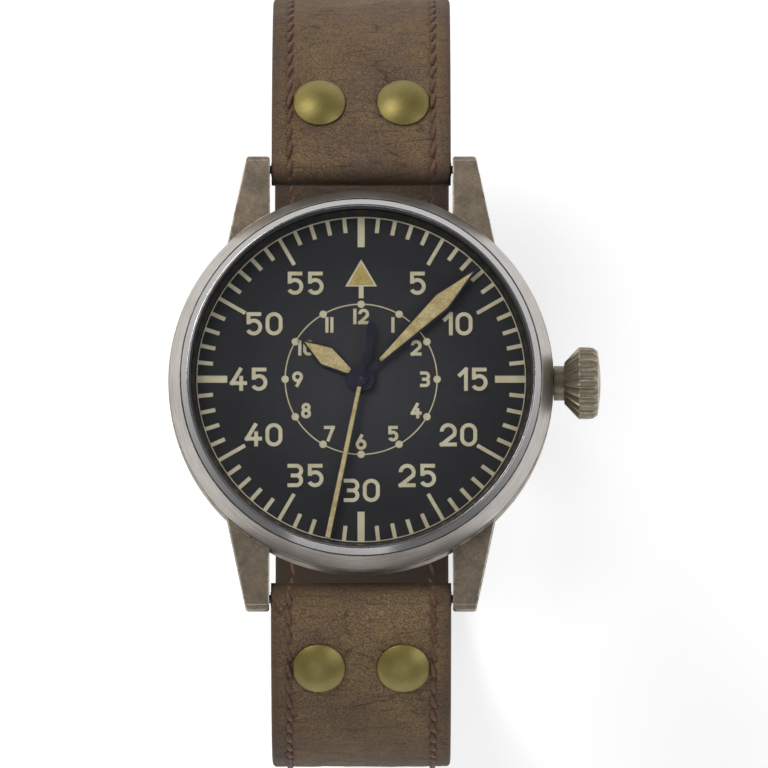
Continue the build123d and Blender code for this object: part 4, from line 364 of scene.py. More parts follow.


# Metals. lines: ring, across, along or none; worn: colour of the rubbed edges; the dirt colour also stands
# for painted shade
metals = {
    "case steel": dict(
        base=colour(132, 115, 94), stain=colour(88, 77, 63),
        worn=colour(220, 215, 204), dirtAndShade=colour(44, 36, 26),
        metallic=0.72, rough=(0.36, 0.5), patch=2.2, lines="none", lineSize=0.1, depth=0.004,
        edge=0.26, cover=0.62, grime=0.85,
    ),
    "crown steel": dict(
        base=colour(158, 149, 129), stain=colour(122, 110, 88),
        worn=colour(222, 217, 205), dirtAndShade=colour(44, 36, 24),
        metallic=0.85, rough=(0.28, 0.44), patch=1.8, lines="none", lineSize=0.1, depth=0.003,
        edge=0.12, cover=0.6, grime=1.0, shade=(24.0, 22.4, 0.5),
    ),
    "back steel": dict(
        base=colour(168, 163, 154), stain=colour(138, 130, 118),
        worn=colour(215, 212, 206), dirtAndShade=colour(62, 54, 44),
        metallic=0.95, rough=(0.28, 0.4), patch=5.0, lines="ring", lineSize=0.06, depth=0.003,
        edge=0.12, cover=0.6, grime=0.6,
    ),
    "bar steel": dict(
        base=colour(176, 172, 166), stain=colour(150, 144, 136),
        worn=colour(220, 218, 214), dirtAndShade=colour(60, 52, 44),
        metallic=1.0, rough=(0.2, 0.34), patch=2.0, lines="across", lineSize=0.05, depth=0.002,
        edge=0.08, cover=0.5, grime=0.8,
    ),
    "buckle steel": dict(
        base=colour(158, 150, 138), stain=colour(124, 114, 100),
        worn=colour(216, 212, 204), dirtAndShade=colour(50, 42, 34),
        metallic=0.9, rough=(0.28, 0.44), patch=3.0, lines="across", lineSize=0.07, depth=0.003,
        edge=0.35, cover=0.55, grime=0.8,
    ),
    "rivet brass": dict(
        base=colour(132, 120, 66), stain=colour(116, 105, 57),
        worn=colour(186, 175, 118), dirtAndShade=colour(36, 30, 14),
        metallic=0.72, rough=(0.4, 0.46), patch=4.5, lines="across", lineSize=0.05, depth=0.0008,
        edge=0.16, cover=0.5, grime=0.85,
    ),
    "plate nickel": dict(
        base=colour(196, 192, 184), stain=colour(178, 172, 162),
        worn=colour(230, 228, 224), dirtAndShade=colour(90, 84, 74),
        metallic=1.0, rough=(0.24, 0.34), patch=6.0, lines="along", lineSize=0.09, depth=0.003,
        edge=0.05, cover=0.6, grime=0.3,
    ),
    "ring nickel": dict(
        base=colour(182, 178, 170), stain=colour(164, 158, 148),
        worn=colour(222, 220, 214), dirtAndShade=colour(84, 78, 70),
        metallic=1.0, rough=(0.3, 0.4), patch=6.0, lines="ring", lineSize=0.08, depth=0.003,
        edge=0.06, cover=0.5, grime=0.3,
    ),
    "rotor metal": dict(
        base=colour(170, 164, 154), stain=colour(150, 142, 130),
        worn=colour(218, 214, 206), dirtAndShade=colour(70, 64, 56),
        metallic=1.0, rough=(0.24, 0.36), patch=5.0, lines="ring", lineSize=0.07, depth=0.003,
        edge=0.08, cover=0.5, grime=0.3,
    ),
    "wheel brass": dict(
        base=colour(214, 178, 104), stain=colour(190, 152, 84),
        worn=colour(240, 214, 150), dirtAndShade=colour(96, 72, 34),
        metallic=1.0, rough=(0.22, 0.32), patch=3.0, lines="ring", lineSize=0.04, depth=0.002,
        edge=0.03, cover=0.6, grime=0.3, arbor=colour(92, 94, 106), arborLevel=8.0,
    ),
    "winding steel": dict(
        base=colour(186, 184, 180), stain=colour(168, 164, 158),
        worn=colour(226, 225, 222), dirtAndShade=colour(76, 72, 66),
        metallic=1.0, rough=(0.18, 0.28), patch=2.0, lines="ring", lineSize=0.04, depth=0.002,
        edge=0.03, cover=0.6, grime=0.3,
    ),
    "screw blue": dict(
        base=colour(42, 62, 130), stain=colour(58, 48, 112),
        worn=colour(130, 150, 205), dirtAndShade=colour(18, 20, 36),
        metallic=1.0, rough=(0.16, 0.24), patch=0.8, lines="ring", lineSize=0.03, depth=0.001,
        edge=0.03, cover=0.5, grime=0.4,
    ),
    "hand blue": dict(
        base=colour(34, 37, 48), stain=colour(42, 37, 46), worn=colour(92, 96, 118), dirtAndShade=colour(10, 10, 16),
        metallic=0.9, rough=(0.28, 0.4), patch=1.6, lines="along", lineSize=0.05, depth=0.001,
        edge=0.03, cover=0.55, grime=0.5,
    ),
}


metalMix = {
    "flecks": 0.35, "lines": 0.12, "scratches": 0.22, "grimeRough": 0.25, "lineRough": 0.05,
    "scratchDepth": 0.8,
}


def makeMetal(name, look):
    made, tree, shader = newMaterial(name)
    patches = useGroup(tree, "patches", Size=look["patch"], Softness=0.14)
    edges = useGroup(tree, "edge wear", Width=look["edge"], Breakup=0.9, Cover=look["cover"])
    grime = useGroup(tree, "recess grime", Reach=0.9, Amount=look["grime"])["Grime"]
    scratches = useGroup(tree, "hairlines", Size=0.05, Cover=0.22)["Scratches"]
    if look["lines"] == "ring":
        lines = useGroup(tree, "ring lines", Size=look["lineSize"])["Lines"]
    else:
        ways = {"none": (1.0, 1.0, 1.0), "across": (0.03, 1.0, 1.0), "along": (1.0, 0.03, 1.0)}
        stretch = ways[look["lines"]]
        lines = useGroup(tree, "straight lines", Size=look["lineSize"], Stretch=stretch)["Lines"]
    paint = mixColour(tree, patches["Patches"], look["base"], look["stain"])
    paint = tinted(tree, paint, patches["Flecks"], metalMix["flecks"], look["stain"])
    paint = tinted(tree, paint, lines, metalMix["lines"], look["worn"])
    paint = tinted(tree, paint, scratches, metalMix["scratches"], look["worn"])
    paint = mixColour(tree, edges["Wear"], paint, look["worn"])
    # Grime and painted shade in the recesses
    paint = mixColour(tree, grime, paint, look["dirtAndShade"])
    if "shade" in look:       # painted shade towards the case, along X
        start, end, most = look["shade"]
        along = apart(tree, objectPlace(tree))[0]
        paint = mixColour(tree, spread(tree, along, start * mm, end * mm, 0.0, most), paint, look["dirtAndShade"])
    if "arbor" in look:       # the steel arbor stands out above the dial
        level = apart(tree, objectPlace(tree))[2]
        above = spread(tree, level, look["arborLevel"] * mm, (look["arborLevel"] + 0.1) * mm)
        paint = mixColour(tree, above, paint, look["arbor"])
    rough = spread(tree, patches["Patches"], 0.0, 1.0, *look["rough"])
    rough = calc(tree, "ADD", rough, calc(tree, "MULTIPLY", grime, metalMix["grimeRough"]))
    rough = calc(tree, "ADD", rough, calc(tree, "MULTIPLY", lines, metalMix["lineRough"]))
    height = calc(tree, "SUBTRACT", lines, calc(tree, "MULTIPLY", scratches, metalMix["scratchDepth"]))
    feed(
        tree, shader, Base_Color=paint, Roughness=rough, Metallic=look["metallic"],
        Normal=bumped(tree, height, look["depth"], edges["Normal"]),
    )
    return made


bezelLook = {
    "satin": colour(170, 166, 164), "satinDark": colour(128, 121, 115), "polished": colour(186, 184, 184),
    "worn": colour(226, 222, 214), "dirtAndShade": colour(50, 44, 36),
    "stepRadius": 19.65, "grooveWidth": 0.02, "satinRough": 0.34, "polishedRough": 0.12, "patchRough": 0.06,
}


def makeBezelSteel():
    # A brushed outer slope and a polished inner step, parted at the groove
    made, tree, shader = newMaterial("bezel steel")
    axes = apart(tree, objectPlace(tree))
    radius = axisRadius(tree, axes)
    grooveEnd = bezelLook["stepRadius"] + bezelLook["grooveWidth"]
    outer = spread(tree, radius, bezelLook["stepRadius"] * mm, grooveEnd * mm)
    patches = useGroup(tree, "patches", Size=8.0, Softness=0.25)
    lines = useGroup(tree, "ring lines", Size=0.06, Length=3.0)["Lines"]
    edges = useGroup(tree, "edge wear", Width=0.1, Breakup=1.4, Cover=0.55)
    grime = useGroup(tree, "recess grime", Reach=0.35, Amount=0.8)["Grime"]
    scratches = useGroup(tree, "hairlines", Size=0.06, Cover=0.22)["Scratches"]
    satin = mixColour(tree, patches["Patches"], bezelLook["satin"], bezelLook["satinDark"])
    satin = tinted(tree, satin, lines, weight=0.4, tint=bezelLook["worn"])
    paint = mixColour(tree, outer, bezelLook["polished"], satin)
    paint = tinted(tree, paint, scratches, weight=0.15, tint=bezelLook["worn"])
    paint = tinted(tree, paint, edges["Wear"], weight=0.8, tint=bezelLook["worn"])
    # Grime and painted shade in the recesses
    paint = mixColour(tree, grime, paint, bezelLook["dirtAndShade"])
    rough = spread(tree, outer, 0.0, 1.0, bezelLook["polishedRough"], bezelLook["satinRough"])
    rough = calc(tree, "ADD", rough, calc(tree, "MULTIPLY", patches["Patches"], bezelLook["patchRough"]))
    height = calc(tree, "MULTIPLY", calc(tree, "SUBTRACT", lines, scratches), outer)
    feed(
        tree, shader, Base_Color=paint, Roughness=rough, Metallic=1.0,
        Normal=bumped(tree, height, depth=0.0035, normal=edges["Normal"]),
    )
    return made


def makeCrystalGlass():
    # Coated against reflections, and clear for the rays that light the dial through it
    made, tree, shader = newMaterial("crystal glass")
    smears = useGroup(tree, "patches", Size=7.0, Softness=0.3)["Patches"]
    feed(
        tree, shader, Base_Color=(1.0, 1.0, 1.0, 1.0), Metallic=0.0, Transmission_Weight=1.0, IOR=1.25,
        Roughness=spread(tree, smears, low=0.0, high=1.0, outLow=0.0, outHigh=0.006),
    )
    clear = addNode(tree, "ShaderNodeBsdfTransparent")
    rays = addNode(tree, "ShaderNodeLightPath").outputs
    lighting = calc(tree, "MAXIMUM", rays["Is Shadow Ray"], rays["Is Diffuse Ray"])
    both = addNode(tree, "ShaderNodeMixShader", {0: lighting, 1: shader.outputs[0], 2: clear.outputs[0]})
    tree.links.new(both.outputs[0], tree.nodes["Material Output"].inputs[0])
    return made


# middle: the lacquer lightened by a painted sheen; rim: the lacquer further out
dialLook = {
    "middle": colour(49, 50, 54), "rim": colour(24, 25, 29), "sheenStart": 2.0, "sheenEnd": 14.0,
    "print": colour(190, 187, 164), "printAged": colour(168, 155, 118), "printEdge": colour(124, 108, 70),
    "flange": colour(22, 22, 24),
}


def makeDialBlack():
    # Matt lacquer, lighter in the middle with a painted sheen
    made, tree, shader = newMaterial("dial black")
    axes = apart(tree, objectPlace(tree))
    radius = axisRadius(tree, axes)
    sheenFade = spread(tree, radius, dialLook["sheenStart"] * mm, dialLook["sheenEnd"] * mm)
    patches = useGroup(tree, "patches", Size=2.5, Softness=0.3)
    fine = grain(tree, objectPlace(tree), size=0.14, detail=2.0)
    # Painted sheen: the lacquer lightens towards the middle
    paint = mixColour(tree, sheenFade, dialLook["middle"], dialLook["rim"])
    paint = tinted(tree, paint, patches["Patches"], weight=0.15, tint=dialLook["middle"])
    feed(
        tree, shader, Base_Color=paint, Specular_IOR_Level=0.15,
        Roughness=spread(tree, patches["Patches"], low=0.0, high=1.0, outLow=0.58, outHigh=0.66),
        Normal=bumped(tree, fine, depth=0.001),
    )
    return made


def makeFlangeBlack():
    made, tree, shader = newMaterial("flange black")
    patches = useGroup(tree, "patches", Size=1.2, Softness=0.2)
    lines = useGroup(tree, "ring lines", Size=0.08)["Lines"]
    paint = tinted(tree, dialLook["flange"], patches["Patches"], weight=0.3, tint=dialLook["rim"])
    feed(
        tree, shader, Base_Color=paint, Specular_IOR_Level=0.3,
        Roughness=spread(tree, patches["Patches"], low=0.0, high=1.0, outLow=0.3, outHigh=0.42),
        Normal=bumped(tree, lines, depth=0.002),
    )
    return made


def makeDialPrint():
    # Thick aged paint, browner along its edges
    made, tree, shader = newMaterial("dial print")
    speck = useGroup(tree, "lume grain", Size=0.14)
    edges = useGroup(tree, "edge wear", Width=0.07, Breakup=0.5, Cover=0.7)
    paint = tinted(tree, dialLook["print"], speck["Stain"], weight=0.6, tint=dialLook["printAged"])
    paint = tinted(tree, paint, speck["Speckle"], weight=0.25, tint=dialLook["printAged"])
    paint = tinted(tree, paint, edges["Edge"], weight=0.75, tint=dialLook["printEdge"])
    feed(
        tree, shader, Base_Color=paint, Specular_IOR_Level=0.2,
        Roughness=spread(tree, speck["Speckle"], low=0.0, high=1.0, outLow=0.6, outHigh=0.75),
        Normal=bumped(tree, speck["Speckle"], depth=0.004),
    )
    return made


lumeLook = {
    "fresh": colour(200, 186, 140), "aged": colour(168, 150, 98), "dark": colour(98, 78, 42),
    "golden": colour(184, 165, 106), "goldenAged": colour(160, 138, 78),
}


def makeLume(name, fresh, aged, speckleShare):
    made, tree, shader = newMaterial(name)
    speck = useGroup(tree, "lume grain", Size=0.15)
    grime = useGroup(tree, "recess grime", Reach=0.12, Amount=0.6)["Grime"]
    paint = mixColour(tree, speck["Stain"], lumeLook[fresh], lumeLook[aged])
    paint = tinted(tree, paint, speck["Speckle"], speckleShare, lumeLook["dark"])
    # Grime and painted shade in the recesses
    paint = mixColour(tree, grime, paint, lumeLook["dark"])
    feed(
        tree, shader, Base_Color=paint, Specular_IOR_Level=0.25,
        Roughness=spread(tree, speck["Speckle"], low=0.0, high=1.0, outLow=0.6, outHigh=0.8),
        Normal=bumped(tree, speck["Speckle"], depth=0.012),
    )
    return made


leathers = {
    "strap leather": dict(
        base=colour(116, 92, 68), dark=colour(52, 40, 32),
        rubbed=colour(150, 126, 86), cool=colour(100, 83, 76),
        edge=colour(76, 61, 53),
        speck=colour(176, 158, 132), grain=0.17, depth=0.055, rough=(0.6, 0.76), halfWidth=9.8, barReach=23.7,
    ),
    "keeper leather": dict(
        base=colour(108, 85, 62), dark=colour(54, 41, 32),
        rubbed=colour(138, 114, 78), cool=colour(92, 75, 68),
        edge=colour(72, 58, 48),
        speck=colour(160, 142, 116), grain=0.17, depth=0.045, rough=(0.52, 0.68), halfWidth=13.0,
        barReach=0.0,
    ),
    "lining leather": dict(
        base=colour(80, 66, 56), dark=colour(56, 46, 39), rubbed=colour(104, 87, 70), cool=colour(74, 63, 58),
        edge=colour(64, 53, 46),
        speck=colour(116, 99, 82), grain=0.22, depth=0.02, rough=(0.62, 0.76), halfWidth=9.8, barReach=23.7,
    ),
}


leatherMix = {
    "rubbed": 0.85, "valleys": 0.66, "pores": 0.45, "specks": 0.5, "creases": 0.7, "margin": 0.55,
    "caseShade": 0.8, "wear": 0.45, "grime": 0.8,
}
leatherPlaces = {"marginStart": 1.7, "marginEnd": 0.3, "caseStart": 1.6, "caseEnd": 1.0}


def makeLeather(name, look):
    made, tree, shader = newMaterial(name)
    skin = useGroup(tree, "leather grain", Size=look["grain"], Crease=1.0)
    wide = useGroup(tree, "patches", Size=9.0, Softness=0.16)["Patches"]
    narrow = useGroup(tree, "patches", Size=6.5, Softness=0.18)
    edges = useGroup(tree, "edge wear", Width=0.5, Breakup=1.6, Cover=0.62)
    grime = useGroup(tree, "recess grime", Reach=1.1, Amount=0.85)["Grime"]
    axes = apart(tree, objectPlace(tree))
    side = calc(tree, "ABSOLUTE", axes[0])
    marginStart = (look["halfWidth"] - leatherPlaces["marginStart"]) * mm
    marginEnd = (look["halfWidth"] - leatherPlaces["marginEnd"]) * mm
    margin = spread(tree, side, marginStart, marginEnd)
    # Painted shade: the leather darkens where it nears the case
    reach = calc(tree, "ABSOLUTE", axes[1])
    caseStart = (look["barReach"] - leatherPlaces["caseStart"]) * mm
    caseEnd = (look["barReach"] + leatherPlaces["caseEnd"]) * mm
    caseShade = spread(tree, reach, caseStart, caseEnd, 1.0, 0.0)
    crowns = spread(tree, skin["Fibres"], low=0.0, high=1.0, outLow=0.45, outHigh=1.0)
    rubbed = calc(tree, "MULTIPLY", wide, crowns)
    paint = mixColour(tree, narrow["Patches"], look["base"], look["cool"])
    paint = tinted(tree, paint, rubbed, leatherMix["rubbed"], look["rubbed"])
    valleys = calc(tree, "SUBTRACT", 1.0, skin["Fibres"])
    paint = tinted(tree, paint, valleys, leatherMix["valleys"], look["dark"])
    paint = tinted(tree, paint, skin["Pores"], leatherMix["pores"], look["dark"])
    paint = tinted(tree, paint, skin["Specks"], leatherMix["specks"], look["speck"])
    paint = tinted(tree, paint, skin["Creases"], leatherMix["creases"], look["dark"])
    paint = tinted(tree, paint, margin, leatherMix["margin"], look["edge"])
    paint = tinted(tree, paint, caseShade, leatherMix["caseShade"], look["dark"])
    paint = tinted(tree, paint, edges["Wear"], leatherMix["wear"], look["rubbed"])
    # Grime and painted shade in the recesses
    paint = tinted(tree, paint, grime, leatherMix["grime"], look["dark"])
    rough = spread(tree, skin["Fibres"], 0.0, 1.0, *look["rough"])
    feed(
        tree, shader, Base_Color=paint, Roughness=rough, Specular_IOR_Level=0.16,
        Normal=bumped(tree, skin["Height"], look["depth"], edges["Normal"]),
    )
    return made


threadLook = {"base": colour(88, 57, 42), "dark": colour(48, 31, 24), "pale": colour(112, 76, 56)}


def makeThread():
    # Waxed two-ply thread: fibres along the stitch, dirt and painted shade where it dives into its hole
    made, tree, shader = newMaterial("waxed thread")
    place = objectPlace(tree)
    fuzz = grain(tree, place, size=0.05, detail=2.0)
    wide = useGroup(tree, "patches", Size=4.0, Softness=0.2)["Patches"]
    grime = useGroup(tree, "recess grime", Reach=0.35, Amount=1.0)["Grime"]
    paint = mixColour(tree, wide, threadLook["base"], threadLook["pale"])
    between = spread(tree, fuzz, low=0.4, high=0.7, outLow=0.0, outHigh=0.4)
    paint = mixColour(tree, between, paint, threadLook["dark"])
    # Grime and painted shade in the recesses
    paint = mixColour(tree, grime, paint, threadLook["dark"])
    feed(
        tree, shader, Base_Color=paint, Specular_IOR_Level=0.4, Sheen_Weight=0.15,
        Roughness=spread(tree, fuzz, low=0.3, high=0.7, outLow=0.5, outHigh=0.7),
        Normal=bumped(tree, fuzz, depth=0.02),
    )
    return made


def makeRuby():
    made, tree, shader = newMaterial("jewel ruby")
    cloud = useGroup(tree, "patches", Size=0.3, Softness=0.3)["Patches"]
    paint = mixColour(tree, cloud, colour(176, 18, 48), colour(206, 40, 70))
    feed(
        tree, shader, Base_Color=paint, Specular_IOR_Level=0.8, Coat_Weight=0.5, Coat_Roughness=0.05,
        Roughness=spread(tree, cloud, low=0.0, high=1.0, outLow=0.08, outHigh=0.14),
    )
    return made


def makeRubber():
    made, tree, shader = newMaterial("gasket rubber")
    cloud = useGroup(tree, "patches", Size=0.8, Softness=0.2)
    paint = mixColour(tree, cloud["Patches"], colour(28, 28, 30), colour(42, 42, 44))
    feed(
        tree, shader, Base_Color=paint,
        Roughness=spread(tree, cloud["Patches"], low=0.0, high=1.0, outLow=0.5, outHigh=0.65),
        Normal=bumped(tree, cloud["Flecks"], depth=0.004),
    )
    return made


finishes = {name: makeMetal(name, look) for name, look in metals.items()}
finishes.update({name: makeLeather(name, look) for name, look in leathers.items()})
finishes["clamp steel"] = finishes["winding steel"]
finishes["spring steel"] = finishes["winding steel"]
finishes["bezel steel"] = makeBezelSteel()
finishes["crystal glass"] = makeCrystalGlass()
finishes["dial black"] = makeDialBlack()
finishes["flange black"] = makeFlangeBlack()
finishes["dial print"] = makeDialPrint()
finishes["triangle lume"] = makeDialPrint()
finishes["hand lume"] = makeLume("hand lume", "fresh", "aged", 0.5)
finishes["golden lume"] = makeLume("golden lume", "golden", "goldenAged", 0.3)
finishes["thread"] = makeThread()
finishes["jewel ruby"] = makeRuby()
finishes["gasket rubber"] = makeRubber()

for node in cadNodes.values():
    for place in node.material_slots:
        place.material = finishes[place.material.name.split(".")[0].replace("_", " ")]
print("materials: ", len(finishes))


# Mesh helpers
def closedObject(name, points, faces):
    # A mesh from points in millimetres, its normals turned outwards
    mesh = bpy.data.meshes.new(name)
    mesh.from_pydata([tuple(value * mm for value in point) for point in points], [], faces)
    build = bmesh.new()
    build.from_mesh(mesh)
    bmesh.ops.recalc_face_normals(build, faces=build.faces)
    build.to_mesh(mesh)
    build.free()
    made = bpy.data.objects.new(name, mesh)
    bpy.context.scene.collection.objects.link(made)
    return made


def newPiece(name, points, faces, finish, body):
    piece = closedObject(name, points, faces)
    piece.data.shade_smooth()
    piece.data.materials.append(finishes[finish])
    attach(piece, body)
    return piece


def loftFaces(ringCount, ringSize, start=0, closed=False):
    # Quads between rings; open ends are closed by strips between a ring's two halves
    faces = []
    for ring in range(ringCount if closed else ringCount - 1):
        here = start + ring * ringSize
        after = start + (ring + 1) % ringCount * ringSize
        for k in range(ringSize):
            l = (k + 1) % ringSize
            faces.append((here + k, here + l, after + l, after + k))
    if not closed:
        for ring in (0, ringCount - 1):
            here = start + ring * ringSize
            for k in range(ringSize // 2 - 1):
                faces.append((here + k, here + k + 1, here + ringSize - 2 - k, here + ringSize - 1 - k))
    return faces


def loft(name, rings, finish, body, closed=False):
    points = [point for ring in rings for point in ring]
    return newPiece(name, points, loftFaces(len(rings), len(rings[0]), closed=closed), finish, body)


# Strap: each half follows a path of arcs and lines in the side view, from its spring bar on.
# s runs along the path, x across it, n outwards from it.
barLow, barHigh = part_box("spring_bars")
strap = {
    "width": 19.6, "leather": 1.5, "lining": 0.9, "glue": 0.02, "endRadius": 1.75,
    "barReach": barHigh.y / mm - 0.75, "barLevel": (barLow.z + barHigh.z) / 2 / mm,
    "topEdge": 0.5, "underEdge": 0.35, "innerEdge": 0.08, "foldEnd": 3.2, "foldStart": 1.2,
    "rowStep": 0.26, "tipRounding": 7.5, "stitchInset": 1.95, "edgeShare": 0.42,
}
halves = {
    "short": dict(
        side=1, heading=6.0, body="short_half", seed=11.0,
        runs=(("arc", 23.85, 84.0), ("arc", 16.45, 90.0), ("line", 20.0, 0.0)),
    ),
    "long": dict(
        side=-1, heading=14.0, body="long_half", seed=47.0,
        runs=(("arc", 18.45, 76.0), ("arc", 44.25, 40.0), ("arc", 21.5, 50.0), ("line", 44.0, 0.0)),
    ),
}
strap["seam"] = strap["endRadius"] - strap["leather"]
strap["under"] = strap["seam"] - strap["glue"] - strap["lining"]
rivets = {"distance": 7.1, "aside": 4.6, "radius": 2.9, "dent": 0.16, "ringWidth": 0.32, "swell": 0.1}
punched = {"radius": 1.0, "pitch": 7.0, "first": 30.0, "count": 7}
tongueSlot = {"half": 1.7, "reach": 4.5}


def runLength(run):
    return run[1] if run[0] == "line" else run[1] * radians(run[2])


for half in halves.values():
    half["length"] = sum(runLength(run) for run in half["runs"])


def alongPath(half, s):
    # Outward distance, level and heading at s; the ends go on straight
    out, level, heading = strap["barReach"], strap["barLevel"], half["heading"]
    for number, run in enumerate(half["runs"]):
        last = number == len(half["runs"]) - 1
        part = s if last or s < 0 else min(s, runLength(run))
        if run[0] == "line" or s < 0:
            out += part * cos(radians(heading))
            level -= part * sin(radians(heading))
        else:
            turn = part / run[1]
            middle = (out - run[1] * sin(radians(heading)), level - run[1] * cos(radians(heading)))
            heading += turn * 180 / pi
            out = middle[0] + run[1] * sin(radians(heading))
            level = middle[1] + run[1] * cos(radians(heading))
        s -= part
        if s <= 0:
            break
    return out, level, heading


def onStrap(half, s, x, n, frameAt=None):
    out, level, heading = frameAt or alongPath(half, s)
    return (x, half["side"] * (out + n * sin(radians(heading))), level + n * cos(radians(heading)))


def halfWidthAt(half, s):
    # The long half's tip is rounded; the other ends are square
    flat = strap["width"] / 2
    past = s - (half["length"] - strap["tipRounding"])
    if half is halves["short"] or past <= 0:
        return flat
    return flat - strap["tipRounding"] + sqrt(max(strap["tipRounding"] ** 2 - past**2, 0.0))


def stitchDistance(half, s, x):
    # From a point of the strap's face to its stitched row
    row = strap["width"] / 2 - strap["stitchInset"]
    past = s - (half["length"] - strap["tipRounding"])
    if half is halves["short"] or past <= 0:
        return abs(abs(x) - row)
    corner = strap["width"] / 2 - strap["tipRounding"]
    radius = strap["tipRounding"] - strap["stitchInset"]
    if abs(x) <= corner:
        return abs(past - radius)
    return abs(hypot(abs(x) - corner, past) - radius)


stitches = {"pitch": 1.9, "start": -1.15, "groove": 0.13, "grooveWidth": 0.34, "hole": 0.3, "holeWidth": 0.26}


relief = {
    "wave": 0.11, "waveAcross": 0.13, "waveAlong": 0.16, "ripple": 0.05, "rippleAcross": 0.45,
    "rippleAlong": 0.6, "fold": 0.07, "foldAcross": 0.22, "foldAlong": 0.85, "foldWidth": 0.09,
    "holeDent": 0.12, "holeDentWidth": 0.35, "ringGap": 0.15, "swellGap": 1.3, "swellWidth": 0.7,
    "calmStart": 3.0, "calmWidth": 1.5, "rivetReach": 6.0, "holeReach": 3.0,
}


def faceRelief(half, s, x):
    # How far the leather's face lies below its flat form
    row = stitchDistance(half, s, x)
    drop = stitches["groove"] * exp(-((row / stitches["grooveWidth"]) ** 2))
    phase = (s - stitches["start"]) / stitches["pitch"]
    nearest = (phase - floor(phase + 0.5)) * stitches["pitch"]
    if row < 1:
        spot = (row / stitches["holeWidth"]) ** 2 + (nearest / stitches["holeWidth"]) ** 2
        drop += stitches["hole"] * exp(-spot)
    calm = 1.0
    for aside in (-rivets["aside"], rivets["aside"]):
        away = hypot(x - aside, s - rivets["distance"])
        if away < relief["rivetReach"]:
            ring = (away - rivets["radius"] - relief["ringGap"]) / rivets["ringWidth"]
            drop += rivets["dent"] * (1.0 if ring < 0 else exp(-(ring**2)))
            swell = (away - rivets["radius"] - relief["swellGap"]) / relief["swellWidth"]
            drop -= rivets["swell"] * exp(-(swell**2))
            calm = min(calm, max(0.0, min(1.0, (away - relief["calmStart"]) / relief["calmWidth"])))
    if half is halves["long"]:
        for number in range(punched["count"]):
            away = hypot(x, s - (half["length"] - punched["first"] - number * punched["pitch"]))
            if away < relief["holeReach"]:
                dent = (away - punched["radius"]) / relief["holeDentWidth"]
                drop += relief["holeDent"] * exp(-(dent**2))
    seed = half["seed"]
    wide = Vector((x * relief["waveAcross"], s * relief["waveAlong"], seed))
    fine = Vector((x * relief["rippleAcross"], s * relief["rippleAlong"], seed + 5))
    wave = relief["wave"] * noise.noise(wide) + relief["ripple"] * noise.noise(fine)
    fold = noise.noise(Vector((x * relief["foldAcross"], s * relief["foldAlong"], seed + 9)))
    wave -= relief["fold"] * exp(-((fold / relief["foldWidth"]) ** 2))
    return drop - wave * calm


def linkRing(half, s, width, top, bottom, topEdge, bottomEdge, columns):
    # A cross-section: upper half from left to right, lower half back again
    steps = 4
    frameAt = alongPath(half, s)
    ring = []
    for upper in (True, False):
        edge = topEdge if upper else bottomEdge
        level = top if upper else bottom
        sign = 1 if upper else -1
        inner = width - edge
        section = []
        corner = level(-inner) - sign * edge
        for step in range(steps):
            angle = pi - pi / 2 * step / steps
            section.append((-inner + edge * cos(angle), corner + sign * edge * sin(angle)))
        section += [(inner * share, level(inner * share)) for share in columns]
        corner = level(inner) - sign * edge
        for step in range(1, steps + 1):
            angle = pi / 2 - pi / 2 * step / steps
            section.append((inner + edge * cos(angle), corner + sign * edge * sin(angle)))
        ring += section if upper else section[::-1]
    return [onStrap(half, s, x, n, frameAt) for x, n in ring]


def faceColumns():
    # Shares of the half width, closest together along the stitched rows
    places = []
    x = -1.0
    while x < 1.0:
        places.append(x)
        x += 0.014 if 0.74 < abs(x) < 0.92 else 0.036
    return places + [1.0]


def stations(first, last, step):
    count = max(2, round((last - first) / step))
    return [first + (last - first) * k / count for k in range(count + 1)]


def foldUnder(half, s):
    # Underside of the leather: round the bar, then flush with the lining, then on top of it
    radius = strap["endRadius"]
    ends = [s] if half is halves["long"] else [s, half["length"] - s]
    near = min(ends)
    if near < strap["foldStart"]:
        return -sqrt(max(radius**2 - near**2, 0.0))
    if near < strap["foldEnd"]:
        start = -sqrt(radius**2 - strap["foldStart"] ** 2)
        share = (near - strap["foldStart"]) / (strap["foldEnd"] - strap["foldStart"])
        return start + (strap["under"] - start) * (1 - (1 - share) ** 2)
    return strap["seam"]


def foldTop(half, s):
    radius = strap["endRadius"]
    past = -s if half is halves["long"] else max(-s, s - half["length"])
    top = sqrt(max(radius**2 - past**2, 0.0)) if past > 0 else radius
    tipEdge = 0.55
    left = half["length"] - s
    if half is halves["long"] and left < tipEdge:
        top -= tipEdge - sqrt(max(tipEdge**2 - (tipEdge - left) ** 2, 0.0))
    return top


def leatherRings(half):
    radius = strap["endRadius"]
    columns = faceColumns()
    curl = [-radius * cos(pi / 2 * step / 10) for step in range(1, 10)]
    ending = curl + stations(0.0, strap["foldEnd"], strap["rowStep"]) + [strap["foldEnd"] + 0.01]
    rows = list(ending)
    if half is halves["short"]:
        rows += stations(strap["foldEnd"] + 0.2, half["length"] - strap["foldEnd"] - 0.2, strap["rowStep"])
        rows += [half["length"] - row for row in ending[::-1]]
    else:
        square = half["length"] - strap["tipRounding"]
        rows += stations(strap["foldEnd"] + 0.2, square, strap["rowStep"])
        rows += [square + strap["tipRounding"] * sin(pi / 2 * step / 28) for step in range(1, 28)]
        rows += [half["length"] - 0.01]
    rings = []
    for s in rows:
        flat, under = foldTop(half, s), foldUnder(half, s)
        widest = strap["edgeShare"] * (flat - under)
        edge = min(strap["topEdge"], widest)
        inner = min(strap["topEdge"] if under < strap["under"] + 0.01 else strap["innerEdge"], widest)
        fade = min(1.0, max(0.0, (flat - under) / 2.5)) if s < 0 or s > half["length"] else 1.0
        rings.append(linkRing(
            half, s, halfWidthAt(half, s),
            lambda x: flat - fade * faceRelief(half, s, x),
            lambda x: under, edge, inner, columns,
        ))
    return rings


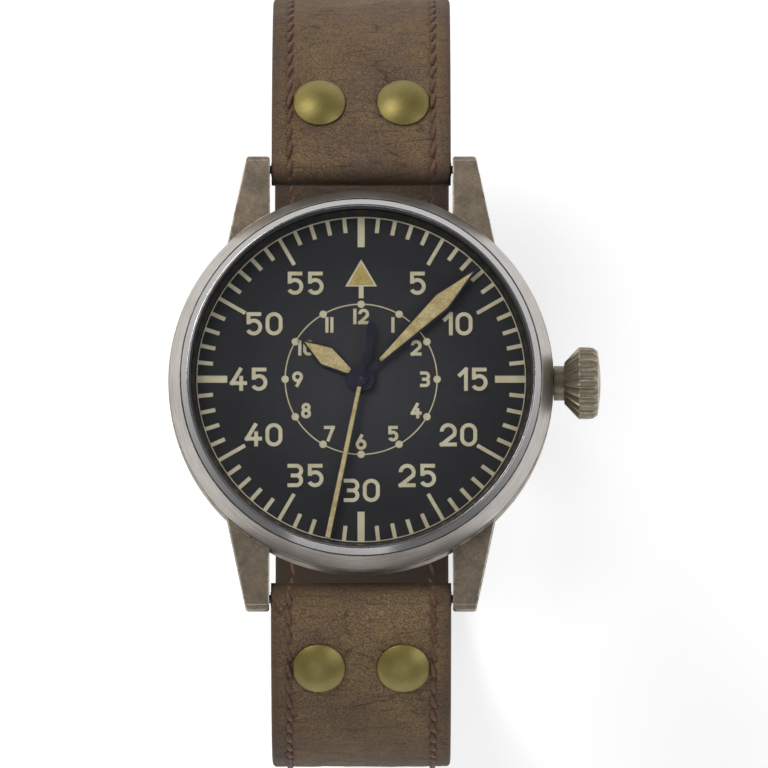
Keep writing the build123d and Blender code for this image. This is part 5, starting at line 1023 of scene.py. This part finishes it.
def liningRings(half):
    first = strap["foldEnd"] + 0.05
    columns = [-1 + 2 * k / 40 for k in range(41)]
    last = half["length"] - (first if half is halves["short"] else strap["tipRounding"])
    rows = stations(first, last, 0.5)
    if half is halves["long"]:
        square = half["length"] - strap["tipRounding"]
        rows += [square + strap["tipRounding"] * sin(pi / 2 * step / 20) for step in range(1, 20)]
        rows += [half["length"] - 0.01]
    rings = []
    for s in rows:
        def under(x):
            row = stitchDistance(half, s, x)
            wave = 0.03 * noise.noise(Vector((x * 0.3, s * 0.3, half["seed"] + 20)))
            return strap["under"] + stitches["groove"] * exp(-((row / stitches["grooveWidth"]) ** 2)) + wave
        rings.append(linkRing(
            half, s, halfWidthAt(half, s), lambda x: strap["seam"] - strap["glue"], under,
            strap["innerEdge"], strap["underEdge"], columns,
        ))
    return rings


def cutWith(piece, cutters):
    # Cuts the cutters out of a piece, then drops them
    for cutter in cutters:
        cut = piece.modifiers.new("cut", "BOOLEAN")
        cut.operation, cut.object, cut.solver = "DIFFERENCE", cutter, "EXACT"
    view = bpy.context.evaluated_depsgraph_get()
    piece.data = bpy.data.meshes.new_from_object(piece.evaluated_get(view))
    piece.modifiers.clear()
    for cutter in cutters:
        bpy.data.objects.remove(cutter)
    piece.data.shade_smooth()
    sharpen(piece, 35)


def sharpen(piece, angle):
    piece.data.set_sharp_from_angle(angle=radians(angle))


def strapCutter(half, s, outline, reach=4.0):
    # A prism through the strap at s; its outline is in strap x and s
    low, high = [], []
    for x, along in outline:
        low.append(onStrap(half, s + along, x, -reach))
        high.append(onStrap(half, s + along, x, reach))
    count = len(outline)
    faces = [tuple(range(count)), tuple(range(2 * count - 1, count - 1, -1))]
    faces += [(k, (k + 1) % count, count + (k + 1) % count, count + k) for k in range(count)]
    return closedObject("cutter", low + high, faces)


def strapCutters(half):
    if half is halves["long"]:
        angles = [2 * pi * k / 32 for k in range(32)]
        hole = [(punched["radius"] * cos(angle), punched["radius"] * sin(angle)) for angle in angles]
        return [
            strapCutter(half, half["length"] - punched["first"] - number * punched["pitch"], hole)
            for number in range(punched["count"])
        ]
    wide, deep = tongueSlot["half"], tongueSlot["reach"] - tongueSlot["half"]
    angles = [pi + pi * k / 16 for k in range(17)]
    slot = [(wide * cos(angle), wide * sin(angle) - deep) for angle in angles]
    past = 2 * strap["endRadius"]
    return [strapCutter(half, half["length"], slot + [(wide, past), (-wide, past)])]


def buildStrap(key, half):
    body = half["body"]
    leather = loft(
        key + "_strap_leather", leatherRings(half), "strap leather", body
    )
    under = loft(
        key + "_strap_lining_leather", liningRings(half), "lining leather", body
    )
    for piece in (leather, under):
        cutWith(piece, strapCutters(half))
    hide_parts(key + "_strap")
    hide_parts(key + "_strap_lining")


for key, half in halves.items():
    buildStrap(key, half)
print("strap: both halves")


# Stitching: short twisted stitches along both edges, on the face and on the lining
thread = {
    "radius": 0.27, "sides": 10, "steps": 12, "twists": 2.6, "lean": 0.42, "rise": 0.15, "dive": 0.34,
    "inset": 0.07, "span": 0.86, "archPower": 0.55, "innerDive": 0.7, "innerRise": 0.12,
    "riseShare": 0.35, "endShare": 0.55, "lobe": 0.2,
}


def stitchRoute(half):
    # Stitch ends as (s, x), down one row, round the tip of the long half and back
    row = strap["width"] / 2 - strap["stitchInset"]
    pitch = stitches["pitch"]
    if half is halves["short"]:
        count = int((half["length"] - 2 * stitches["start"]) / pitch)
        return [
            [(stitches["start"] + k * pitch, side * row) for k in range(count + 1)] for side in (1, -1)
        ]
    corner = strap["width"] / 2 - strap["tipRounding"]
    radius = strap["tipRounding"] - strap["stitchInset"]
    square = half["length"] - strap["tipRounding"]
    straight, bend, across = square - stitches["start"], radius * pi / 2, 2 * corner
    total = 2 * straight + 2 * bend + across
    count = round(total / pitch)
    ends = []
    for k in range(count + 1):
        run = total * k / count
        mirrored = run > total / 2
        run = total - run if mirrored else run
        if run <= straight:
            point = (stitches["start"] + run, row)
        elif run <= straight + bend:
            angle = (run - straight) / radius
            point = (square + radius * sin(angle), corner + radius * cos(angle))
        else:
            point = (square + radius, corner - (run - straight - bend))
        ends.append((point[0], -point[1] if mirrored else point[1]))
    return [ends]


def stitchRings(half, start, end, inside, chance):
    # One stitch from hole to hole, two strands twisted together
    lean = thread["lean"] * (1 + 0.5 * (chance.random() - 0.5)) * (-1 if inside else 1)
    phase = chance.random() * pi
    swell = 1 + 0.12 * (chance.random() - 0.5)
    lengthwise = Vector((end[0] - start[0], end[1] - start[1], 0)).normalized()
    aside = Vector((-lengthwise.y, lengthwise.x, 0))
    rings = []
    for step in range(thread["steps"] + 1):
        share = step / thread["steps"]
        along, slant = thread["inset"] + thread["span"] * share, lean * (share - 0.5)
        s = start[0] + (end[0] - start[0]) * along + aside.x * slant
        x = start[1] + (end[1] - start[1]) * along + aside.y * slant
        arch = sin(pi * share) ** thread["archPower"] if 0 < share < 1 else 0.0
        if inside:
            dive = thread["dive"] * thread["innerDive"]
            level = strap["under"] + dive - arch * (dive - thread["innerRise"])
            if s < strap["foldEnd"] or (half is halves["short"] and s > half["length"] - strap["foldEnd"]):
                level += foldUnder(half, s) - strap["under"]
        else:
            rise = thread["dive"] + thread["rise"] * thread["riseShare"]
            level = foldTop(half, s) - thread["dive"] + arch * rise
        frameAt = alongPath(half, s)
        full = sqrt(sin(pi * min(max(share, 0.04), 0.96)))
        radius = thread["radius"] * swell * (thread["endShare"] + (1 - thread["endShare"]) * full)
        ring = []
        for side in range(thread["sides"]):
            angle = 2 * pi * side / thread["sides"]
            turning = angle - phase - thread["twists"] * pi * share
            lobe = 1 - thread["lobe"] + thread["lobe"] * abs(cos(turning))
            wide, tall = radius * lobe * cos(angle), radius * lobe * sin(angle)
            known = None if abs(aside.x) > 0.1 else frameAt
            ring.append(onStrap(half, s + aside.x * wide, x + aside.y * wide, level + tall, known))
        rings.append(ring)
    return rings


def buildStitches(key, half, chance):
    points, faces = [], []
    for ends in stitchRoute(half):
        for start, end in zip(ends, ends[1:]):
            for inside in (False, True):
                near, far = min(start[0], end[0]), max(start[0], end[0])
                past = half is halves["short"] and far > half["length"] - 1.0
                if inside and (near < 1.0 or past):
                    continue
                rings = stitchRings(half, start, end, inside, chance)
                faces += loftFaces(len(rings), thread["sides"], start=len(points))
                points += [point for ring in rings for point in ring]
    newPiece(key + "_strap_stitching", points, faces, "thread", half["body"])


stitchChance = Random(5)
for key, half in halves.items():
    buildStitches(key, half, stitchChance)
print("stitching")


# Keepers: leather loops round the short half, with rounded edges and a creased line along each
keeper = {
    "length": 5.0, "thickness": 0.95, "sideGap": 0.35, "underGap": 0.3, "room": 2.9, "corner": 1.3,
    "edge": 0.4, "crease": 0.07, "creaseInset": 0.75, "creaseWidth": 0.14, "sag": 0.22, "wave": 0.03,
    "fixedAt": 8.0, "freeGap": 0.7,
}


def buildKeeper(name, node, fromEnd, body, seed):
    half = halves["short"]
    middleS = half["length"] - fromEnd
    wide = strap["width"] / 2 + keeper["sideGap"] + keeper["thickness"] / 2
    low = strap["under"] - keeper["underGap"] - keeper["thickness"] / 2
    high = strap["endRadius"] + keeper["room"] + keeper["thickness"] / 2
    corner = keeper["corner"]
    route = []
    for centerX, centerN, begin in (
        (wide - corner, high - corner, 0), (-wide + corner, high - corner, 90),
        (-wide + corner, low + corner, 180), (wide - corner, low + corner, 270),
    ):
        for step in range(7):
            angle = radians(begin + 90 * step / 6)
            route.append((centerX + corner * cos(angle), centerN + corner * sin(angle), angle))
        if begin in (0, 180):       # the two long sides get points of their own
            edgeN = high if begin == 0 else low
            for step in range(1, 24):
                share = step / 24
                x = (wide - corner) * (1 - 2 * share) * (1 if begin == 0 else -1)
                sag = keeper["sag"] * sin(pi * share) * (1 if begin == 0 else 0)
                route.append((x, edgeN - sag, radians(begin + 90)))
    rings = []
    for x, n, angle in route:
        ring = []
        for part in range(2):
            face = 1 if part == 0 else -1
            across = [-1 + 2 * k / 22 for k in range(23)]
            for share in across if part == 0 else across[::-1]:
                along = share * keeper["length"] / 2
                fromEdge = keeper["length"] / 2 - abs(along)
                depth = keeper["thickness"] / 2
                if fromEdge < keeper["edge"]:
                    left = keeper["edge"] - fromEdge
                    depth -= keeper["edge"] - sqrt(keeper["edge"] ** 2 - left**2)
                if face > 0:
                    crease = (fromEdge - keeper["creaseInset"]) / keeper["creaseWidth"]
                    depth -= keeper["crease"] * exp(-(crease**2))
                    uneven = noise.noise(Vector((x * 0.4 + seed, n * 0.4, along * 0.4)))
                    depth += keeper["wave"] * uneven
                outX, outN = x + face * depth * cos(angle), n + face * depth * sin(angle)
                ring.append(onStrap(half, middleS + along, outX, outN))
        rings.append(ring)
    piece = loft(name, rings, "keeper leather", body, closed=True)
    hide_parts(node)


buildKeeper("fixed_keeper_leather", "fixed_keeper", keeper["fixedAt"], "short_half", 3.0)
buildKeeper(
    "free_keeper_leather", "free_keeper", keeper["fixedAt"] + keeper["length"] + keeper["freeGap"],
    "free_keeper", 8.0,
)
print("keepers")


# Luminous filling of the hands and of the triangle
hands = {
    "hour": dict(
        node="hour_hand", body="hours", turn=303.4, tip=8.0, belly=4.5, half=1.22, foot=1.1,
        footHalf=0.42, border=0.16, swell=0.06,
    ),
    "minute": dict(
        node="minute_hand", body="minutes", turn=46.1, tip=17.95, belly=12.2, half=1.1, foot=2.7,
        footHalf=0.36, border=0.165, swell=0.05,
    ),
}
secondsHand = {"turn": 191.7, "tip": 18.0, "start": 1.0, "halfTip": 0.27, "halfStart": 0.2, "swell": 0.05}
triangle = {"apex": 13.2, "base": 10.2, "half": 1.74, "border": 0.2, "swell": 0.07}


def turned(point, turn):
    # Clockwise from twelve, as a hand turns
    x, y, z = point
    angle = radians(turn)
    return (x * cos(angle) + y * sin(angle), y * cos(angle) - x * sin(angle), z)


def filling(name, outline, low, high, swell, turn, finish, body, seed):
    # A filled blade: outline gives the half width at each place along it
    rings = []
    columns = [-1 + 2 * k / 12 for k in range(13)]
    for along, wide in outline:
        ring = []
        for share in columns:
            rise = swell * (1 - share**2) * min(1.0, wide / 0.3)
            bumps = 0.012 * noise.noise(Vector((share * wide * 5, along * 5, seed)))
            ring.append(turned((share * wide, along, high + rise + bumps), turn))
        ring += [turned((share * wide, along, low), turn) for share in columns[::-1]]
        rings.append(ring)
    return loft(name, rings, finish, body)


def bladeOutline(tip, belly, half, foot, footHalf, step=0.2):
    places = stations(foot, belly, step) + stations(belly, tip, step)[1:]
    wide = [
        footHalf + (half - footHalf) * (at - foot) / (belly - foot) if at <= belly
        else half * (tip - at) / (tip - belly)
        for at in places
    ]
    return [(at, max(value, 0.01)) for at, value in zip(places, wide)]


for key, hand in hands.items():
    low, high = (corner.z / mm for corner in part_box(hand["node"]))
    reach = hand["border"] * (hand["tip"] - hand["belly"]) / hand["half"] + hand["border"]
    filling(
        key + "_hand_lume",
        bladeOutline(
            hand["tip"] - reach, hand["belly"], hand["half"] - hand["border"], hand["foot"] + hand["border"],
            hand["footHalf"] - hand["border"],
        ),
        low + 0.01, high - 0.02, hand["swell"], hand["turn"], "hand lume", hand["body"], 2.0,
    )

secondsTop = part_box("seconds_hand")[1].z / mm
secondsWidening = secondsHand["halfTip"] - secondsHand["halfStart"]
filling(
    "seconds_hand_lume",
    [
        (at, secondsHand["halfStart"] + secondsWidening * at / secondsHand["tip"])
        for at in stations(secondsHand["start"], secondsHand["tip"], 0.3)
    ],
    secondsTop - 0.01, secondsTop + 0.01, secondsHand["swell"], secondsHand["turn"],
    "hand lume", "seconds", 4.0,
)

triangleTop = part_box("triangle_marker")[1].z / mm
slope = triangle["half"] / (triangle["apex"] - triangle["base"])
innerBase = triangle["base"] + triangle["border"]
innerApex = triangle["apex"] - triangle["border"] * sqrt(1 + 1 / slope**2)
filling(
    "triangle_lume_fill",
    [(at, max(slope * (innerApex - at), 0.01)) for at in stations(innerBase, innerApex, 0.15)],
    triangleTop - 0.02, triangleTop, triangle["swell"], 0.0, "golden lume", "case", 6.0,
)
print("luminous fillings")


# Floor, lamps, world and camera
studio = {
    "floor": colour(236, 236, 236), "floorSize": 3000.0, "floorGap": 0.5, "floorGlow": 0.5,
    "skyLow": 0.8, "skyHigh": 0.13, "skyDark": 0.6, "skyFront": 0.5, "skyBack": 1.35,
    "distance": 1300.0, "lens": 560.0, "tilt": 9.0, "aim": (2.49, -0.48, 8.6),
}
lamps = {
    "key lamp": dict(place=(-420.0, 380.0, 620.0), size=420.0, power=4.2, tone=colour(255, 252, 246)),
    "fill lamp": dict(place=(520.0, -120.0, 520.0), size=520.0, power=1.9, tone=colour(244, 247, 255)),
    "front lamp": dict(place=(-80.0, -560.0, 420.0), size=480.0, power=0.9, tone=colour(255, 255, 255)),
}


def buildStudio():
    low = cadBox[0].z / mm - studio["floorGap"]      # under the leather's uneven face
    size = studio["floorSize"] / 2
    mesh = bpy.data.meshes.new("floor")
    corners = ((-size, -size), (size, -size), (size, size), (-size, size))
    mesh.from_pydata([(x * mm, y * mm, low * mm) for x, y in corners], [], [(0, 1, 2, 3)])
    ground = bpy.data.objects.new("floor", mesh)
    bpy.context.scene.collection.objects.link(ground)
    made, tree, shader = newMaterial("pale floor")
    feed(tree, shader, Base_Color=studio["floor"], Roughness=0.7, Specular_IOR_Level=0.1)
    rays = addNode(tree, "ShaderNodeLightPath").outputs
    through = calc(tree, "MAXIMUM", rays["Is Glossy Ray"], rays["Is Transmission Ray"])
    seen = calc(tree, "MAXIMUM", rays["Is Camera Ray"], through)
    strength = calc(tree, "MULTIPLY", seen, studio["floorGlow"])
    glow = addNode(tree, "ShaderNodeEmission", {0: (1.0, 1.0, 1.0, 1.0), 1: strength})
    both = addNode(tree, "ShaderNodeAddShader", {0: shader.outputs[0], 1: glow.outputs[0]})
    tree.links.new(both.outputs[0], tree.nodes["Material Output"].inputs[0])
    mesh.materials.append(made)

    world = bpy.data.worlds.new("studio")
    bpy.context.scene.world = world
    world.use_nodes = True
    tree = world.node_tree
    ways = apart(tree, addNode(tree, "ShaderNodeTexCoord").outputs["Generated"])
    upwards = spread(tree, ways[2], 0.0, studio["skyDark"], studio["skyLow"], studio["skyHigh"])
    backwards = spread(tree, ways[1], -0.7, high=0.2, outLow=studio["skyFront"], outHigh=studio["skyBack"])
    strength = calc(tree, "MULTIPLY", upwards, backwards)
    tree.nodes["Background"].inputs[0].default_value = (1.0, 1.0, 1.0, 1.0)
    tree.links.new(strength, tree.nodes["Background"].inputs[1])

    for name, lamp in lamps.items():
        light = bpy.data.lights.new(name, "AREA")
        light.size = lamp["size"] * mm
        light.energy = lamp["power"]
        light.color = lamp["tone"][:3]
        holder = bpy.data.objects.new(name, light)
        bpy.context.scene.collection.objects.link(holder)
        holder.location = Vector(lamp["place"]) * mm
        holder.rotation_euler = (-holder.location).to_track_quat("-Z", "Y").to_euler()


def placeCamera():
    camera = bpy.data.cameras.new("camera")
    camera.lens = studio["lens"]
    camera.clip_end = 20.0
    holder = bpy.data.objects.new("camera", camera)
    bpy.context.scene.collection.objects.link(holder)
    tilt = radians(studio["tilt"])
    away = Vector((0.0, -sin(tilt), cos(tilt))) * studio["distance"]
    holder.location = (Vector(studio["aim"]) + away) * mm
    holder.rotation_euler = (tilt, 0.0, 0.0)
    bpy.context.scene.camera = holder


buildStudio()
placeCamera()
bpy.context.scene.view_settings.view_transform = "Standard"
print("studio")
